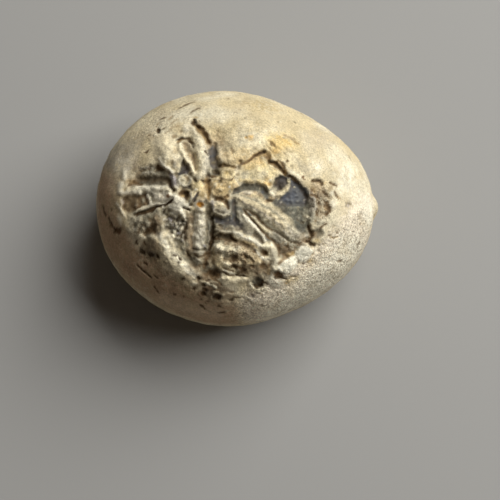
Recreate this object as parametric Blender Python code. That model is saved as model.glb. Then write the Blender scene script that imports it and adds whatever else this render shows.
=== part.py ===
"""Fossil sea urchin: a water-worn egg of flint and chalk with a five-rayed star on its upper face.

The whole fossil formed as one stone, so it is one solid. Its smooth outer form is a
superellipsoid with a slightly lopsided plan. The star, its broken edge, the crusty mound
beside it and the pits are raised and sunk on a tilted board, the star's own face, and then
carried onto the form square to that board. The underside is worn flat where the stone rests.

Lengths are in millimetres until the finished points are written in metres.
The origin is the middle of the resting face, +X the long axis, +Z up.
"""

import math

import bmesh
import bpy
import numpy as np
from mathutils import Vector, noise

MM = 0.001

# ---------------------------------------------------------------- driving dimensions

NAME = "fossil_urchin"
PLAN_RADII = (27.3, 25.3, 22.9, 23.5, 25.3, 27.4, 28.1, 26.6, 24.5, 23.3, 23.2, 25.5)
CENTRE_HEIGHT = 12.0     # height of the widest belt above the resting face
RISE = 19.0              # from the belt up to the crown
FALL = 12.8              # from the belt down to where an unworn underside would end
UPPER_SQUARENESS = 2.25  # 2 is an ellipse, more is boxier
LOWER_SQUARENESS = 2.6
FACE_TILT = math.radians(11.0)   # the star's face leans this far forward from level

SPHERE_DIVISIONS = 7     # of the starting icosphere
CROWDING = 0.50          # how far the starting points are drawn towards the star
TRIANGLES = 9700         # left after the mesh is thinned

FACING_START = 0.06      # the star's relief fades in between these two values
FACING_FULL = 0.34       # of the cosine between the normal and the star's axis

BOARD_RIGHT = np.array((1.0, 0.0, 0.0))
BOARD_UP = np.array((0.0, math.cos(FACE_TILT), math.sin(FACE_TILT)))
BOARD_AXIS = np.array((0.0, -math.sin(FACE_TILT), math.cos(FACE_TILT)))

# ---------------------------------------------------------------- the star's relief
# Every route and outline is in board millimetres: across to the right, then up.
# Strokes are (route, half width, height); a negative height is a groove.

SHOULDERS = (
    # the long shoulder round the left and lower left, and the lower right one
    (((-23.0, 6.0), (-22.5, 2.0), (-20.0, -3.0), (-14.5, -6.5), (-12.0, -9.5), (-8.5, -13.0),
      (-3.0, -16.5)), 5.5, 1.00),
    (((5.0, -18.0), (11.0, -15.5), (17.0, -11.0)), 4.0, 0.60),
)

SUNKEN_FIELDS = (
    # outline, depth, width of the sloping edge
    (((0.6, 8.2), (2.6, 8.7), (4.3, 9.8), (5.7, 9.7), (6.8, 8.3), (8.4, 7.5), (9.8, 6.1), (12.4, 4.5),
      (13.9, 2.6), (14.4, 0.4), (13.7, -2.0), (13.8, -4.2), (14.0, -6.6), (12.0, -7.4), (9.6, -9.0),
      (8.2, -8.4), (6.6, -7.0), (5.0, -7.0), (3.4, -5.6), (1.2, -4.8), (-0.8, -3.2), (-4.2, -3.2),
      (-4.4, -0.6), (-0.4, -1.4), (0.2, 1.4), (-0.6, 3.2), (0.2, 5.2)), 0.75, 0.9),
    (((-22.0, 1.9), (-21.6, 2.5), (-20.4, 5.2), (-17.2, 8.2), (-14.4, 8.2), (-12.2, 6.4), (-10.4, 6.8),
      (-9.9, 9.2), (-8.8, 8.0), (-8.4, 5.8), (-11.0, 4.4), (-11.8, 2.8), (-12.0, 1.4), (-13.4, 0.2),
      (-16.0, -0.9), (-19.6, -1.7), (-21.6, -0.9)), 0.7, 0.8),
    (((-9.8, -2.0), (-8.4, -1.0), (-4.0, -1.0), (-3.9, -6.0), (-4.2, -12.0), (-6.0, -12.8), (-8.2, -10.8),
      (-10.2, -8.4), (-11.0, -5.0)), 0.75, 0.9),
    (((-20.6, -1.8), (-15.0, -1.4), (-14.4, -3.0), (-15.0, -5.0), (-18.6, -6.4), (-20.6, -4.0)), 0.35, 1.0),
)

DARK_WINDOWS = (
    # outline, depth, width of the sloping edge
    (((7.3, 4.4), (7.9, 5.5), (9.4, 5.8), (9.8, 4.0), (9.0, 3.3), (7.6, 3.2)), 0.45, 0.5),
    (((7.4, 0.9), (8.3, 1.8), (9.6, 2.6), (10.5, 3.4), (10.6, 5.0), (12.4, 4.2), (13.3, 3.1), (14.0, 1.8),
      (13.6, 0.6), (12.6, -0.6), (10.4, -0.6), (8.8, 0.0)), 0.45, 0.6),
    (((-4.9, 11.2), (-3.9, 11.3), (-3.4, 10.0), (-3.6, 8.5), (-4.2, 7.4), (-4.8, 8.6)), 0.55, 0.6),
    (((-10.0, 9.2), (-10.5, 8.0), (-10.3, 6.4), (-9.2, 7.0), (-9.2, 8.0)), 0.35, 0.5),
    (((-4.0, -1.4), (0.0, -1.6), (0.6, -3.2), (-4.0, -3.2)), 0.3, 0.5),
    (((-20.8, 2.2), (-16.9, 2.3), (-16.2, 0.6), (-18.0, -0.4), (-20.6, -0.9)), 0.55, 0.5),
    (((0.4, 3.2), (1.6, 4.5), (5.4, 4.2), (5.2, 3.0), (2.6, 3.1)), 0.35, 0.5),
)

RIBS = (
    # upper ray: a long spine and a thinner one beside it
    (((-8.2, 15.0), (-7.3, 13.4), (-6.9, 11.4), (-6.2, 8.8), (-6.3, 6.8), (-7.1, 5.4)), 1.30, 0.85),
    (((-10.6, 12.0), (-10.1, 10.4), (-9.2, 8.9), (-8.4, 7.4), (-7.7, 6.2)), 0.85, 0.60),
    # left ray: upper rib, blunt outer end, cross rib, block and thin lower rib
    (((-21.6, 3.6), (-19.5, 3.4), (-17.0, 3.5), (-14.5, 3.7), (-12.8, 3.4)), 1.05, 0.75),
    (((-21.8, 5.0), (-21.9, 3.4), (-21.6, 2.4)), 0.90, 0.50),
    (((-16.6, 2.2), (-16.0, 0.9), (-15.7, 0.3)), 0.70, 0.55),
    (((-15.8, 1.8), (-12.9, 1.9)), 1.00, 0.50),
    (((-19.5, -0.9), (-17.5, -0.2), (-16.3, 0.1), (-14.5, 0.6), (-13.0, 0.9)), 0.70, 0.42),
    # the step below the left ray and the crest along the shoulder
    (((-13.0, 0.2), (-11.0, -0.4), (-10.0, -1.2), (-9.4, -1.6)), 0.85, 0.65),
    (((-14.2, -3.0), (-14.0, -4.4), (-13.3, -5.5), (-12.2, -6.7), (-11.4, -8.0), (-10.2, -9.5),
      (-9.0, -10.8), (-8.2, -12.0), (-8.2, -13.4), (-7.8, -14.6)), 1.20, 0.60),
    # lower ray: one broad band
    (((-6.5, -1.0), (-6.5, -4.0), (-6.7, -6.0), (-7.0, -8.7), (-7.0, -10.6)), 1.40, 0.75),
    # right ray: a broad rib and three narrow ones
    (((0.3, 1.8), (2.5, 1.1), (4.0, 0.5), (6.0, -0.7), (8.0, -2.2), (9.9, -3.9)), 1.50, 0.90),
    (((3.8, -2.2), (4.3, -3.0), (5.3, -3.9), (6.4, -4.6)), 0.60, 0.40),
    (((1.0, -0.3), (2.0, -1.8), (3.4, -3.6), (5.1, -5.2), (5.8, -6.5)), 0.70, 0.48),
    (((6.5, -5.2), (7.3, -5.9), (8.0, -6.6), (8.8, -6.9)), 0.60, 0.50),
    # bridge across the dark window
    (((10.0, 5.6), (10.1, 3.9), (9.5, 3.2), (8.0, 2.4), (6.8, 2.3)), 0.75, 0.85),
    # crusty mound: its upper band, its right edge and the swirl below
    (((-1.5, -3.3), (-0.5, -4.2), (0.5, -5.0), (1.2, -5.6), (2.5, -5.5), (3.5, -6.2), (5.0, -7.5)), 0.95, 0.80),
    (((5.3, -7.4), (6.5, -7.2), (7.2, -8.0), (7.3, -9.0), (7.9, -10.0), (7.6, -11.2), (7.1, -12.0),
      (6.6, -13.4)), 1.05, 0.85),
    (((-2.6, -10.6), (-1.8, -12.7), (0.0, -13.4), (1.0, -13.3)), 0.80, 0.45),
)

GROOVES = (
    (((-8.2, 16.3), (-7.7, 15.4), (-6.8, 14.8), (-6.0, 13.9), (-5.6, 13.0), (-5.1, 12.0), (-4.6, 10.8)),
     0.95, -1.05),
    (((-11.1, 12.2), (-10.5, 13.0), (-9.8, 13.3), (-9.0, 12.7), (-8.5, 11.8), (-8.2, 10.4), (-8.0, 9.0),
      (-7.6, 7.8)), 0.75, -0.80),
    (((-19.2, -1.3), (-17.5, -1.0), (-16.3, -0.5), (-14.5, 0.0), (-13.3, 0.3), (-11.9, 1.0)), 0.65, -0.50),
    (((-13.4, 6.0), (-12.6, 4.8), (-12.1, 3.8), (-11.6, 2.8)), 0.70, -0.50),
    (((-4.4, -1.4), (-4.4, -6.5), (-4.8, -8.2)), 0.80, -0.95),
    (((-9.0, -1.2), (-9.2, -5.0), (-8.9, -9.8)), 1.10, -0.45),
    (((-4.0, -5.4), (-2.5, -5.5), (-1.0, -5.5), (0.0, -6.1), (1.3, -6.4)), 0.75, -0.95),
    (((1.6, 8.2), (2.8, 9.2), (4.0, 9.7), (4.8, 10.3), (5.9, 9.7), (6.6, 8.8), (8.4, 7.4), (9.3, 6.4),
      (10.4, 5.8), (12.0, 4.8)), 0.65, -0.80),
    (((2.5, -0.1), (3.2, -0.7), (4.3, -1.9), (5.0, -2.7), (6.0, -3.4), (6.9, -4.1)), 0.52, -0.42),
    (((1.4, -0.1), (2.4, -1.5), (3.1, -2.2), (3.9, -3.3), (5.6, -4.9), (6.3, -5.7)), 0.48, -0.38),
    (((6.0, -5.2), (7.0, -6.2), (7.6, -6.9), (8.3, -7.7)), 0.50, -0.40),
    (((-5.5, 5.9), (-5.9, 4.6), (-5.3, 3.6), (-5.2, 1.4)), 0.60, -0.60),
    (((-3.0, 7.9), (-2.0, 7.7), (-0.4, 7.3)), 0.60, -0.75),
    (((0.6, 8.6), (0.4, 7.5), (0.3, 6.0)), 0.50, -0.60),
)

LUMPS = (
    # middle, half lengths across and up, height
    ((-13.2, 10.4), (2.8, 3.6), 0.90),
    ((3.6, 7.0), (3.4, 2.2), 0.70),
    ((-3.4, 3.9), (2.4, 2.0), 0.55),
    ((-7.0, 3.8), (1.0, 0.9), 0.50),
    ((1.8, -10.0), (7.6, 5.0), 0.70),
    ((-3.0, -7.4), (1.9, 1.5), 0.55),
    ((-0.4, -8.0), (2.2, 1.8), 0.35),
    ((3.2, -9.6), (2.4, 2.8), 0.25),
    ((10.4, -10.4), (2.9, 1.9), 0.55),
    ((6.6, 2.9), (0.9, 0.8), 0.60),
    ((7.6, -14.4), (1.8, 1.0), 0.35),
    ((8.6, 11.6), (4.4, 3.2), 0.40),
    ((15.6, 1.0), (2.4, 5.5), 0.40),
    ((18.8, -0.6), (2.6, 4.0), 0.30),
    ((-12.0, -2.9), (1.0, 0.8), 0.40),
    ((-3.4, -4.3), (0.9, 0.7), 0.50),
    ((-9.2, 16.4), (1.0, 1.4), 0.30),
)

PLATE_RINGS = (
    # middle, radius of the rim, half width of the rim, height of the rim, depth of the crater
    ((-1.75, 6.0), 0.95, 0.60, 0.75, 0.10),
    ((-9.70, 4.95), 0.95, 0.60, 0.70, 0.15),
    ((-9.70, 1.60), 1.25, 0.60, 0.75, 0.35),
    ((-6.75, 0.40), 0.80, 0.55, 0.70, 0.25),
    ((-2.45, 0.10), 1.40, 0.65, 0.90, 0.30),
)

PITS = (
    # route, half width, depth as a negative height
    (((-15.1, 14.5), (-14.6, 14.9)), 0.75, -0.85),
    (((-20.5, 4.4), (-19.2, 4.7)), 0.60, -0.60),
    (((-15.6, -3.4), (-16.8, -4.6)), 0.85, -0.85),
    (((-24.4, -1.2), (-24.2, -2.8), (-23.0, -4.4), (-22.2, -4.4)), 0.65, -0.75),
    (((-18.0, -8.0), (-17.3, -8.8)), 0.60, -0.70),
    (((-16.1, -8.7), (-15.4, -8.5)), 0.60, -0.80),
    (((-14.7, -8.6), (-14.6, -9.4)), 0.55, -0.70),
    (((-18.4, -11.2), (-16.9, -12.5)), 0.50, -0.45),
    (((-15.6, -12.9), (-14.8, -13.2)), 0.50, -0.50),
    (((-15.6, -15.5), (-15.0, -16.2)), 0.50, -0.45),
    (((-7.2, -13.4), (-6.1, -14.5)), 0.65, -0.75),
    (((-6.3, -15.4), (-5.4, -15.7)), 0.60, -0.60),
    (((-6.2, -16.0), (-6.5, -17.2)), 0.70, -0.80),
    (((-3.7, -16.9), (-3.5, -17.1)), 0.85, -1.05),
    (((-1.2, -17.5), (-0.7, -17.6)), 0.60, -0.65),
    (((-6.6, -18.7), (-6.0, -19.4)), 0.50, -0.50),
    (((4.0, -13.6), (4.5, -14.6)), 1.05, -0.95),
    (((5.0, -8.5), (5.5, -8.7)), 0.80, -0.80),
    (((-3.9, -12.0), (-3.6, -12.2)), 0.90, -0.55),
    (((7.2, -12.3), (7.9, -13.1), (9.6, -13.6)), 0.75, -1.00),
    (((13.8, -4.2), (14.3, -5.2), (13.9, -6.4), (14.7, -7.3)), 0.85, -1.10),
    (((15.5, -4.6), (15.8, -4.7)), 1.20, -0.70),
    (((14.6, 5.0), (16.2, 4.5)), 0.75, -1.00),
    (((18.2, 4.5), (18.9, 4.0)), 0.60, -0.70),
    (((16.6, 2.7), (17.7, 1.6)), 0.65, -0.80),
    (((18.6, 2.8), (19.4, 1.5)), 0.60, -0.70),
    (((17.2, 0.7), (17.6, -0.8), (17.1, -1.5)), 0.60, -0.70),
    (((15.3, -0.8), (15.4, -1.6)), 0.60, -0.50),
    (((21.4, 0.5), (21.7, 0.7)), 0.55, -0.30),
)

ROUGH_AREAS = (
    # middle, half lengths across and up, strength
    ((1.0, -9.0), (7.5, 4.5), 1.0),
    ((-17.0, 6.5), (4.0, 2.6), 0.7),
    ((-17.0, -3.6), (4.5, 3.0), 0.9),
    ((-11.6, -3.4), (2.4, 2.4), 0.9),
    ((10.2, -6.4), (3.4, 2.6), 0.8),
    ((16.6, 0.4), (2.6, 5.6), 0.8),
    ((12.0, -1.8), (2.6, 2.4), 0.6),
)

# ---------------------------------------------------------------- relief of the sides and underside

NOSE = ((28.0, 0.4, 11.9), (3.0, 3.4, 4.4), 1.15)   # middle, half lengths, height
SIDE_PITS = (
    # direction from the middle of the stone, radius, depth
    ((-0.75, -0.62, -0.22), 1.0, 0.50),
    ((-0.35, -0.90, -0.26), 0.8, 0.45),
    ((0.42, -0.88, -0.22), 0.9, 0.40),
    ((0.86, 0.48, -0.16), 1.0, 0.45),
    ((0.30, 0.93, -0.20), 0.9, 0.50),
    ((-0.44, 0.86, -0.26), 1.1, 0.50),
    ((-0.90, 0.36, -0.24), 0.8, 0.45),
    ((0.72, -0.52, -0.45), 1.2, 0.50),
    ((-0.72, 0.50, -0.48), 1.1, 0.45),
)
LOBES = 0.20             # height of the broad, low waves all over the stone
LOBE_SPACING = 9.0
CRUST = 0.26             # height of the lumpiness in the rough areas
CRUST_SPACING = 1.7


def plan_radius(angle):
    """Radius of the belt at an angle, a smooth closed curve through PLAN_RADII."""
    count = len(PLAN_RADII)
    waves = np.fft.rfft(PLAN_RADII) / count
    radius = np.full_like(angle, waves[0].real)
    for order, wave in enumerate(waves[1:], start=1):
        share = 1.0 if 2 * order == count else 2.0
        radius += share * (wave.real * np.cos(order * angle) - wave.imag * np.sin(order * angle))
    return radius


def form_radius(directions):
    """Distance from the middle of the stone to its smooth surface, along each direction."""
    across = np.hypot(directions[:, 0], directions[:, 1])
    angle = np.arctan2(directions[:, 1], directions[:, 0])
    upper = directions[:, 2] > 0.0
    height = np.where(upper, RISE, FALL)
    power = np.where(upper, UPPER_SQUARENESS, LOWER_SQUARENESS)
    total = (across / plan_radius(angle)) ** power + (np.abs(directions[:, 2]) / height) ** power
    return total ** (-1.0 / power)


def smooth_step(value, low, high):
    """0 below low, 1 above high, and a soft rise between them."""
    share = np.clip((value - low) / (high - low), 0.0, 1.0)
    return share * share * (3.0 - 2.0 * share)


def distance_to_route(points, route):
    """Distance from each board point to a route of straight stretches."""
    nearest = np.full(len(points), np.inf)
    corners = np.array(route, dtype=float)
    for start, end in zip(corners[:-1], corners[1:]):
        run = end - start
        share = np.clip(((points - start) @ run) / (run @ run), 0.0, 1.0)
        gap = np.linalg.norm(points - start - share[:, None] * run, axis=1)
        nearest = np.minimum(nearest, gap)
    return nearest


def inside_outline(points, outline):
    """Which board points lie inside a closed outline."""
    inside = np.zeros(len(points), dtype=bool)
    corners = np.array(outline, dtype=float)
    for start, end in zip(corners, np.roll(corners, -1, axis=0)):
        crosses = (start[1] > points[:, 1]) != (end[1] > points[:, 1])
        rise = end[1] - start[1] if end[1] != start[1] else 1e-9
        meets = start[0] + (points[:, 1] - start[1]) * (end[0] - start[0]) / rise
        inside ^= crosses & (points[:, 0] < meets)
    return inside


def stroke(points, route, half_width, height):
    """A rounded rib or groove along a route."""
    share = np.clip(distance_to_route(points, route) / half_width, 0.0, 1.0)
    return height * (1.0 - share * share) ** 2


def sunken(points, outline, depth, edge):
    """A floor let in by depth, with a sloping edge on both sides of its outline."""
    gap = distance_to_route(points, tuple(outline) + (outline[0],))
    signed = np.where(inside_outline(points, outline), gap, -gap)
    return -depth * smooth_step(signed, -0.5 * edge, 0.5 * edge)


def lump(points, middle, half_lengths, height):
    """A low dome with an oval foot."""
    share = np.linalg.norm((points - middle) / half_lengths, axis=1)
    return height * (1.0 - np.clip(share, 0.0, 1.0) ** 2) ** 2


def plate_ring(points, middle, radius, half_width, height, crater):
    """A round plate: a raised rim about a small crater."""
    reach = np.linalg.norm(points - middle, axis=1)
    rim = np.clip(np.abs(reach - radius) / half_width, 0.0, 1.0)
    bowl = np.clip(reach / radius, 0.0, 1.0)
    return height * (1.0 - rim * rim) ** 2 - crater * (1.0 - bowl * bowl)


def rolling(points, spacing):
    """Gentle noise between about -1 and 1, one swell in each spacing."""
    return np.array([noise.noise(Vector(point / spacing)) for point in points]) * 2.0


def star_relief(board, crust):
    """Height of the star and its surroundings over the smooth form."""
    height = np.zeros(len(board))
    for outline, depth, edge in SUNKEN_FIELDS + DARK_WINDOWS:
        height += sunken(board, outline, depth, edge)
    for route, half_width, rise in SHOULDERS + RIBS + GROOVES + PITS:
        height += stroke(board, route, half_width, rise)
    for middle, half_lengths, rise in LUMPS:
        height += lump(board, middle, half_lengths, rise)
    for ring in PLATE_RINGS:
        height += plate_ring(board, *ring)
    roughness = np.zeros(len(board))
    for middle, half_lengths, strength in ROUGH_AREAS:
        roughness = np.maximum(roughness, lump(board, middle, half_lengths, strength))
    return height + CRUST * roughness * crust


def side_relief(points):
    """Height of the nose at the right end and of the pits round the sides and underside."""
    middle, half_lengths, rise = NOSE
    share = np.linalg.norm((points - middle) / half_lengths, axis=1)
    height = rise * (1.0 - np.clip(share, 0.0, 1.0) ** 2) ** 2
    for direction, radius, depth in SIDE_PITS:
        aim = np.array(direction) / np.linalg.norm(direction)
        foot = aim * form_radius(aim[None, :])[0] + (0.0, 0.0, CENTRE_HEIGHT)
        share = np.linalg.norm(points - foot, axis=1) / radius
        height -= depth * (1.0 - np.clip(share, 0.0, 1.0) ** 2) ** 2
    return height


def starting_sphere():
    """A fine icosphere whose points crowd together under the star."""
    mesh = bpy.data.meshes.new(NAME)
    work = bmesh.new()
    bmesh.ops.create_icosphere(work, subdivisions=SPHERE_DIVISIONS, radius=1.0)
    work.to_mesh(mesh)
    work.free()
    directions = read_points(mesh) + CROWDING * BOARD_AXIS
    directions /= np.linalg.norm(directions, axis=1)[:, None]
    return mesh, directions


def read_points(mesh):
    """The mesh's points as rows of x, y, z."""
    points = np.empty(len(mesh.vertices) * 3)
    mesh.vertices.foreach_get("co", points)
    return points.reshape(-1, 3)


def write_points(mesh, points):
    """Put the points back into the mesh."""
    mesh.vertices.foreach_set("co", points.ravel())
    mesh.update()


def shaped_mesh():
    """The whole stone before it is thinned and worn flat."""
    mesh, directions = starting_sphere()
    points = directions * form_radius(directions)[:, None] + (0.0, 0.0, CENTRE_HEIGHT)
    write_points(mesh, points)
    normals = np.empty(len(mesh.vertices) * 3)
    mesh.vertices.foreach_get("normal", normals)
    normals = normals.reshape(-1, 3)

    from_middle = points - (0.0, 0.0, CENTRE_HEIGHT)
    board = np.stack((from_middle @ BOARD_RIGHT, from_middle @ BOARD_UP), axis=1)
    facing = smooth_step(normals @ BOARD_AXIS, FACING_START, FACING_FULL)
    star = facing * star_relief(board, rolling(points, CRUST_SPACING))
    belt = 1.0 - np.abs(normals[:, 2])
    skin = side_relief(points) + LOBES * (1.0 - 0.8 * belt) * rolling(points, LOBE_SPACING)
    write_points(mesh, (points + BOARD_AXIS * star[:, None] + normals * skin[:, None]) * MM)
    return mesh


def thinned(mesh):
    """The same mesh with about TRIANGLES triangles, most of them left where the relief is."""
    full = bpy.data.objects.new("full_detail", mesh)
    bpy.context.scene.collection.objects.link(full)
    thin = full.modifiers.new("Thin", "DECIMATE")
    thin.ratio = TRIANGLES / len(mesh.polygons)
    bpy.context.view_layer.update()
    evaluated = full.evaluated_get(bpy.context.evaluated_depsgraph_get())
    result = bpy.data.meshes.new_from_object(evaluated)
    bpy.data.objects.remove(full)
    bpy.data.meshes.remove(mesh)
    return result


def wear_flat(mesh):
    """Cut the underside off level with the ground and close the cut with one flat face."""
    work = bmesh.new()
    work.from_mesh(mesh)
    everything = work.verts[:] + work.edges[:] + work.faces[:]
    bmesh.ops.bisect_plane(work, geom=everything, plane_co=(0, 0, 0), plane_no=(0, 0, 1), clear_inner=True)
    rim = [edge for edge in work.edges if edge.is_boundary]
    bmesh.ops.contextual_create(work, geom=rim)
    bmesh.ops.recalc_face_normals(work, faces=work.faces)
    bmesh.ops.triangulate(work, faces=work.faces)
    work.to_mesh(mesh)
    work.free()


def stone_material():
    """Dull cream cortex."""
    material = bpy.data.materials.new("chalky_flint")
    material.use_nodes = True
    shader = material.node_tree.nodes["Principled BSDF"]
    shader.inputs["Base Color"].default_value = (0.60, 0.50, 0.33, 1.0)
    shader.inputs["Roughness"].default_value = 0.75
    shader.inputs["Metallic"].default_value = 0.0
    return material


def build():
    for old in list(bpy.data.objects):
        bpy.data.objects.remove(old)
    collection = bpy.data.collections.new("fossil_sea_urchin")
    bpy.context.scene.collection.children.link(collection)
    mesh = thinned(shaped_mesh())
    wear_flat(mesh)
    mesh.name = NAME
    mesh.materials.clear()
    mesh.materials.append(stone_material())
    mesh.shade_smooth()
    mesh.set_sharp_from_angle(angle=math.radians(40.0))
    collection.objects.link(bpy.data.objects.new(NAME, mesh))


build()
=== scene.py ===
"""Looks of the fossil sea urchin: one egg of flint in a chalky rind, its worn star open on the crown.

The stone is sculpted here at full detail in place of the faceted one. Every mark of the star, raised,
sunken or only paint, is laid out in millimetres on a tilted board, the star's own face: across it
runs to the right and up it runs away from the front. The star is carried onto the stone square to that
board, the skin of the sides along the stone's own normals. Some of the paint is painted light and shade.
"""

import math

import bpy
import numpy as np
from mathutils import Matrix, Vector, noise


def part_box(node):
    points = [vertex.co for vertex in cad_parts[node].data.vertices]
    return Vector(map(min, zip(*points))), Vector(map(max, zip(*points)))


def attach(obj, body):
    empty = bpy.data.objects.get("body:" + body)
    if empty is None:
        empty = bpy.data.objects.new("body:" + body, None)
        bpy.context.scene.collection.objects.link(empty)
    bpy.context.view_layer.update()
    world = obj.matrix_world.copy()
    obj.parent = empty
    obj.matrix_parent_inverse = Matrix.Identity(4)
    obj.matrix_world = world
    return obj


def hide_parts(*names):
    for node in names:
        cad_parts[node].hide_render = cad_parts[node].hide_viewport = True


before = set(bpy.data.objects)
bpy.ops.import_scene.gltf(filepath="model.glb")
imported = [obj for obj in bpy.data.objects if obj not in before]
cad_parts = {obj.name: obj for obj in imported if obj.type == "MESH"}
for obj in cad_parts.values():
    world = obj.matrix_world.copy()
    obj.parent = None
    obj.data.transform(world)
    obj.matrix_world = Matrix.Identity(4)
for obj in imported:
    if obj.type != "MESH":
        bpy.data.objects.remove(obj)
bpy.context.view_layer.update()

MM = 0.001
STONE_NODE = "fossil_urchin"
SLOT = "chalky_flint"

# -------------------------------------------- the stone's form, millimetres

PLAN_RADII = (27.3, 25.3, 22.9, 23.5, 25.3, 27.4, 28.1, 26.6, 24.5, 23.3, 23.2, 25.5)
CENTRE_HEIGHT = 12.0     # of the widest belt over the table
RISE = 19.0              # from the belt to the crown
FALL = 12.8              # from the belt down, before the worn flat cuts off the last of it
UPPER_SQUARENESS = 2.25
LOWER_SQUARENESS = 2.6
FACE_TILT = math.radians(11.0)
MIDDLE = np.array((0.0, 0.0, CENTRE_HEIGHT))
BOARD_RIGHT = np.array((1.0, 0.0, 0.0))
BOARD_UP = np.array((0.0, math.cos(FACE_TILT), math.sin(FACE_TILT)))
BOARD_AXIS = np.array((0.0, -math.sin(FACE_TILT), math.cos(FACE_TILT)))
NOSE = ((28.0, 0.4, 11.9), (3.0, 3.4, 4.4), 1.15)       # middle, half lengths, height

CUTS = 100               # cuts across each side of the starting cube, the most that subdivide makes
CROWDING = 0.45          # how far its points are drawn towards the star
FACING_START = 0.06      # the star's marks fade out where the stone turns away from the board
FACING_FULL = 0.34

# -------------------------------------------- colours: red, green, blue and gloss

CREAM = (0.70, 0.60, 0.39, 0.0)
BUTTER = (0.64, 0.52, 0.29, 0.0)
PALE = (0.83, 0.76, 0.56, 0.0)
WHITE = (0.98, 0.92, 0.73, 0.1)
MILK = (0.98, 0.87, 0.60, 0.0)
CHALK = (0.93, 0.89, 0.72, 0.0)
SAND = (0.95, 0.85, 0.66, 0.0)
IVORY = (0.76, 0.65, 0.39, 0.0)
TALLOW = (0.58, 0.47, 0.265, 0.0)
DULL_SAND = (0.60, 0.52, 0.37, 0.0)
CLAY = (0.57, 0.395, 0.245, 0.0)
TAUPE = (0.36, 0.315, 0.245, 0.0)
DRAB = (0.38, 0.35, 0.25, 0.0)
HONEY = (0.62, 0.47, 0.24, 0.0)
STRAW = (0.86, 0.70, 0.38, 0.0)
TOFFEE = (0.42, 0.29, 0.13, 0.0)
AMBER = (0.50, 0.34, 0.15, 0.0)
OCHRE = (0.80, 0.62, 0.29, 0.0)
SAFFRON = (0.74, 0.47, 0.15, 0.0)
ORANGE = (0.55, 0.27, 0.06, 0.0)
EYE_ORANGE = (0.40, 0.18, 0.02, 0.1)
FAWN = (0.60, 0.48, 0.28, 0.0)
TAN_CREAM = (0.74, 0.58, 0.39, 0.0)
TAN = (0.48, 0.37, 0.22, 0.0)
UMBER = (0.32, 0.24, 0.145, 0.0)
ASH = (0.60, 0.55, 0.43, 0.0)
MAUVE = (0.40, 0.37, 0.38, 0.2)
MOSS = (0.30, 0.27, 0.19, 0.0)
PEAT = (0.15, 0.145, 0.11, 0.3)
OLIVE = (0.17, 0.15, 0.10, 0.1)
FLINT = (0.17, 0.165, 0.135, 0.2)
GREEN_FLINT = (0.13, 0.13, 0.10, 0.1)
BLUE_FLINT = (0.085, 0.096, 0.118, 0.9)
SLATE = (0.070, 0.074, 0.078, 1.0)
LILAC = (0.21, 0.19, 0.20, 0.4)
RUST = (0.20, 0.10, 0.04, 0.0)
BROWN = (0.15, 0.095, 0.045, 0.0)
PITCH = (0.045, 0.026, 0.011, 0.0)


# -------------------------------------------- shapes on the board

def smooth_step(value, low, high):
    """0 below low, 1 above high, and a soft rise between them."""
    share = np.clip((value - low) / (high - low), 0.0, 1.0)
    return share * share * (3.0 - 2.0 * share)


def dome(share):
    """A soft-footed dome: 1 at the middle, 0 from share 1 outwards."""
    return (1.0 - np.clip(share, 0.0, 1.0) ** 2) ** 2


def follow(board, corners, widths):
    """How far each board point is from a route, in half widths."""
    nearest = np.full(len(board), np.inf)
    for start, end, wide, narrow in zip(corners[:-1], corners[1:], widths[:-1], widths[1:]):
        run = end - start
        length = np.linalg.norm(run)
        share = np.clip(((board - start) @ run) / (length * length), 0.0, 1.0)
        gap = np.linalg.norm(board - start - share[:, None] * run, axis=1)
        nearest = np.minimum(nearest, gap / (wide + (narrow - wide) * share))
    return nearest


def line(half_width, *corners):
    """A rib, groove or streak along a route. A third number at a corner widens or narrows it there."""
    route = np.array([corner[:2] for corner in corners], dtype=float)
    widths = half_width * np.array([corner[2] if len(corner) > 2 else 1.0 for corner in corners])
    reach = widths.max()
    return route.min(axis=0) - reach, route.max(axis=0) + reach, lambda board: dome(
        follow(board, route, widths))


def spot(across, up, half_length, half_width, turn=0.0):
    """An oval lump, pit or stain, turned by an angle in degrees."""
    middle = np.array((across, up), dtype=float)
    half_lengths = np.array((half_length, half_width), dtype=float)
    lean = math.radians(turn)
    axes = np.array(((math.cos(lean), -math.sin(lean)), (math.sin(lean), math.cos(lean))))
    reach = half_lengths.max()
    return middle - reach, middle + reach, lambda board: dome(
        np.linalg.norm((board - middle) @ axes / half_lengths, axis=1))


def patch(edge, *corners):
    """A flat patch inside an outline, with a soft edge."""
    outline = np.array(corners + corners[:1], dtype=float)

    def share(board):
        inside = np.zeros(len(board), dtype=bool)
        for start, end in zip(outline[:-1], outline[1:]):
            crosses = (start[1] > board[:, 1]) != (end[1] > board[:, 1])
            rise = (end[1] - start[1]) or 1.0     # a level side crosses nothing
            side = start[0] + (board[:, 1] - start[1]) * (end[0] - start[0]) / rise
            inside ^= crosses & (board[:, 0] < side)
        gap = follow(board, outline, np.ones(len(outline)))
        return smooth_step(np.where(inside, gap, -gap), -0.5 * edge, 0.5 * edge)

    return outline.min(axis=0) - edge, outline.max(axis=0) + edge, share


def plate(across, up, radius, rim):
    """A round flat plate with a soft rim."""
    middle = np.array((across, up), dtype=float)
    reach = radius + rim
    return middle - reach, middle + reach, lambda board: dome(
        (np.linalg.norm(board - middle, axis=1) - radius) / rim)


# -------------------------------------------- marks on the board
# Each is a shape, a colour, its strength where that isn't 1, and a lift where it's raised or sunken.

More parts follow.
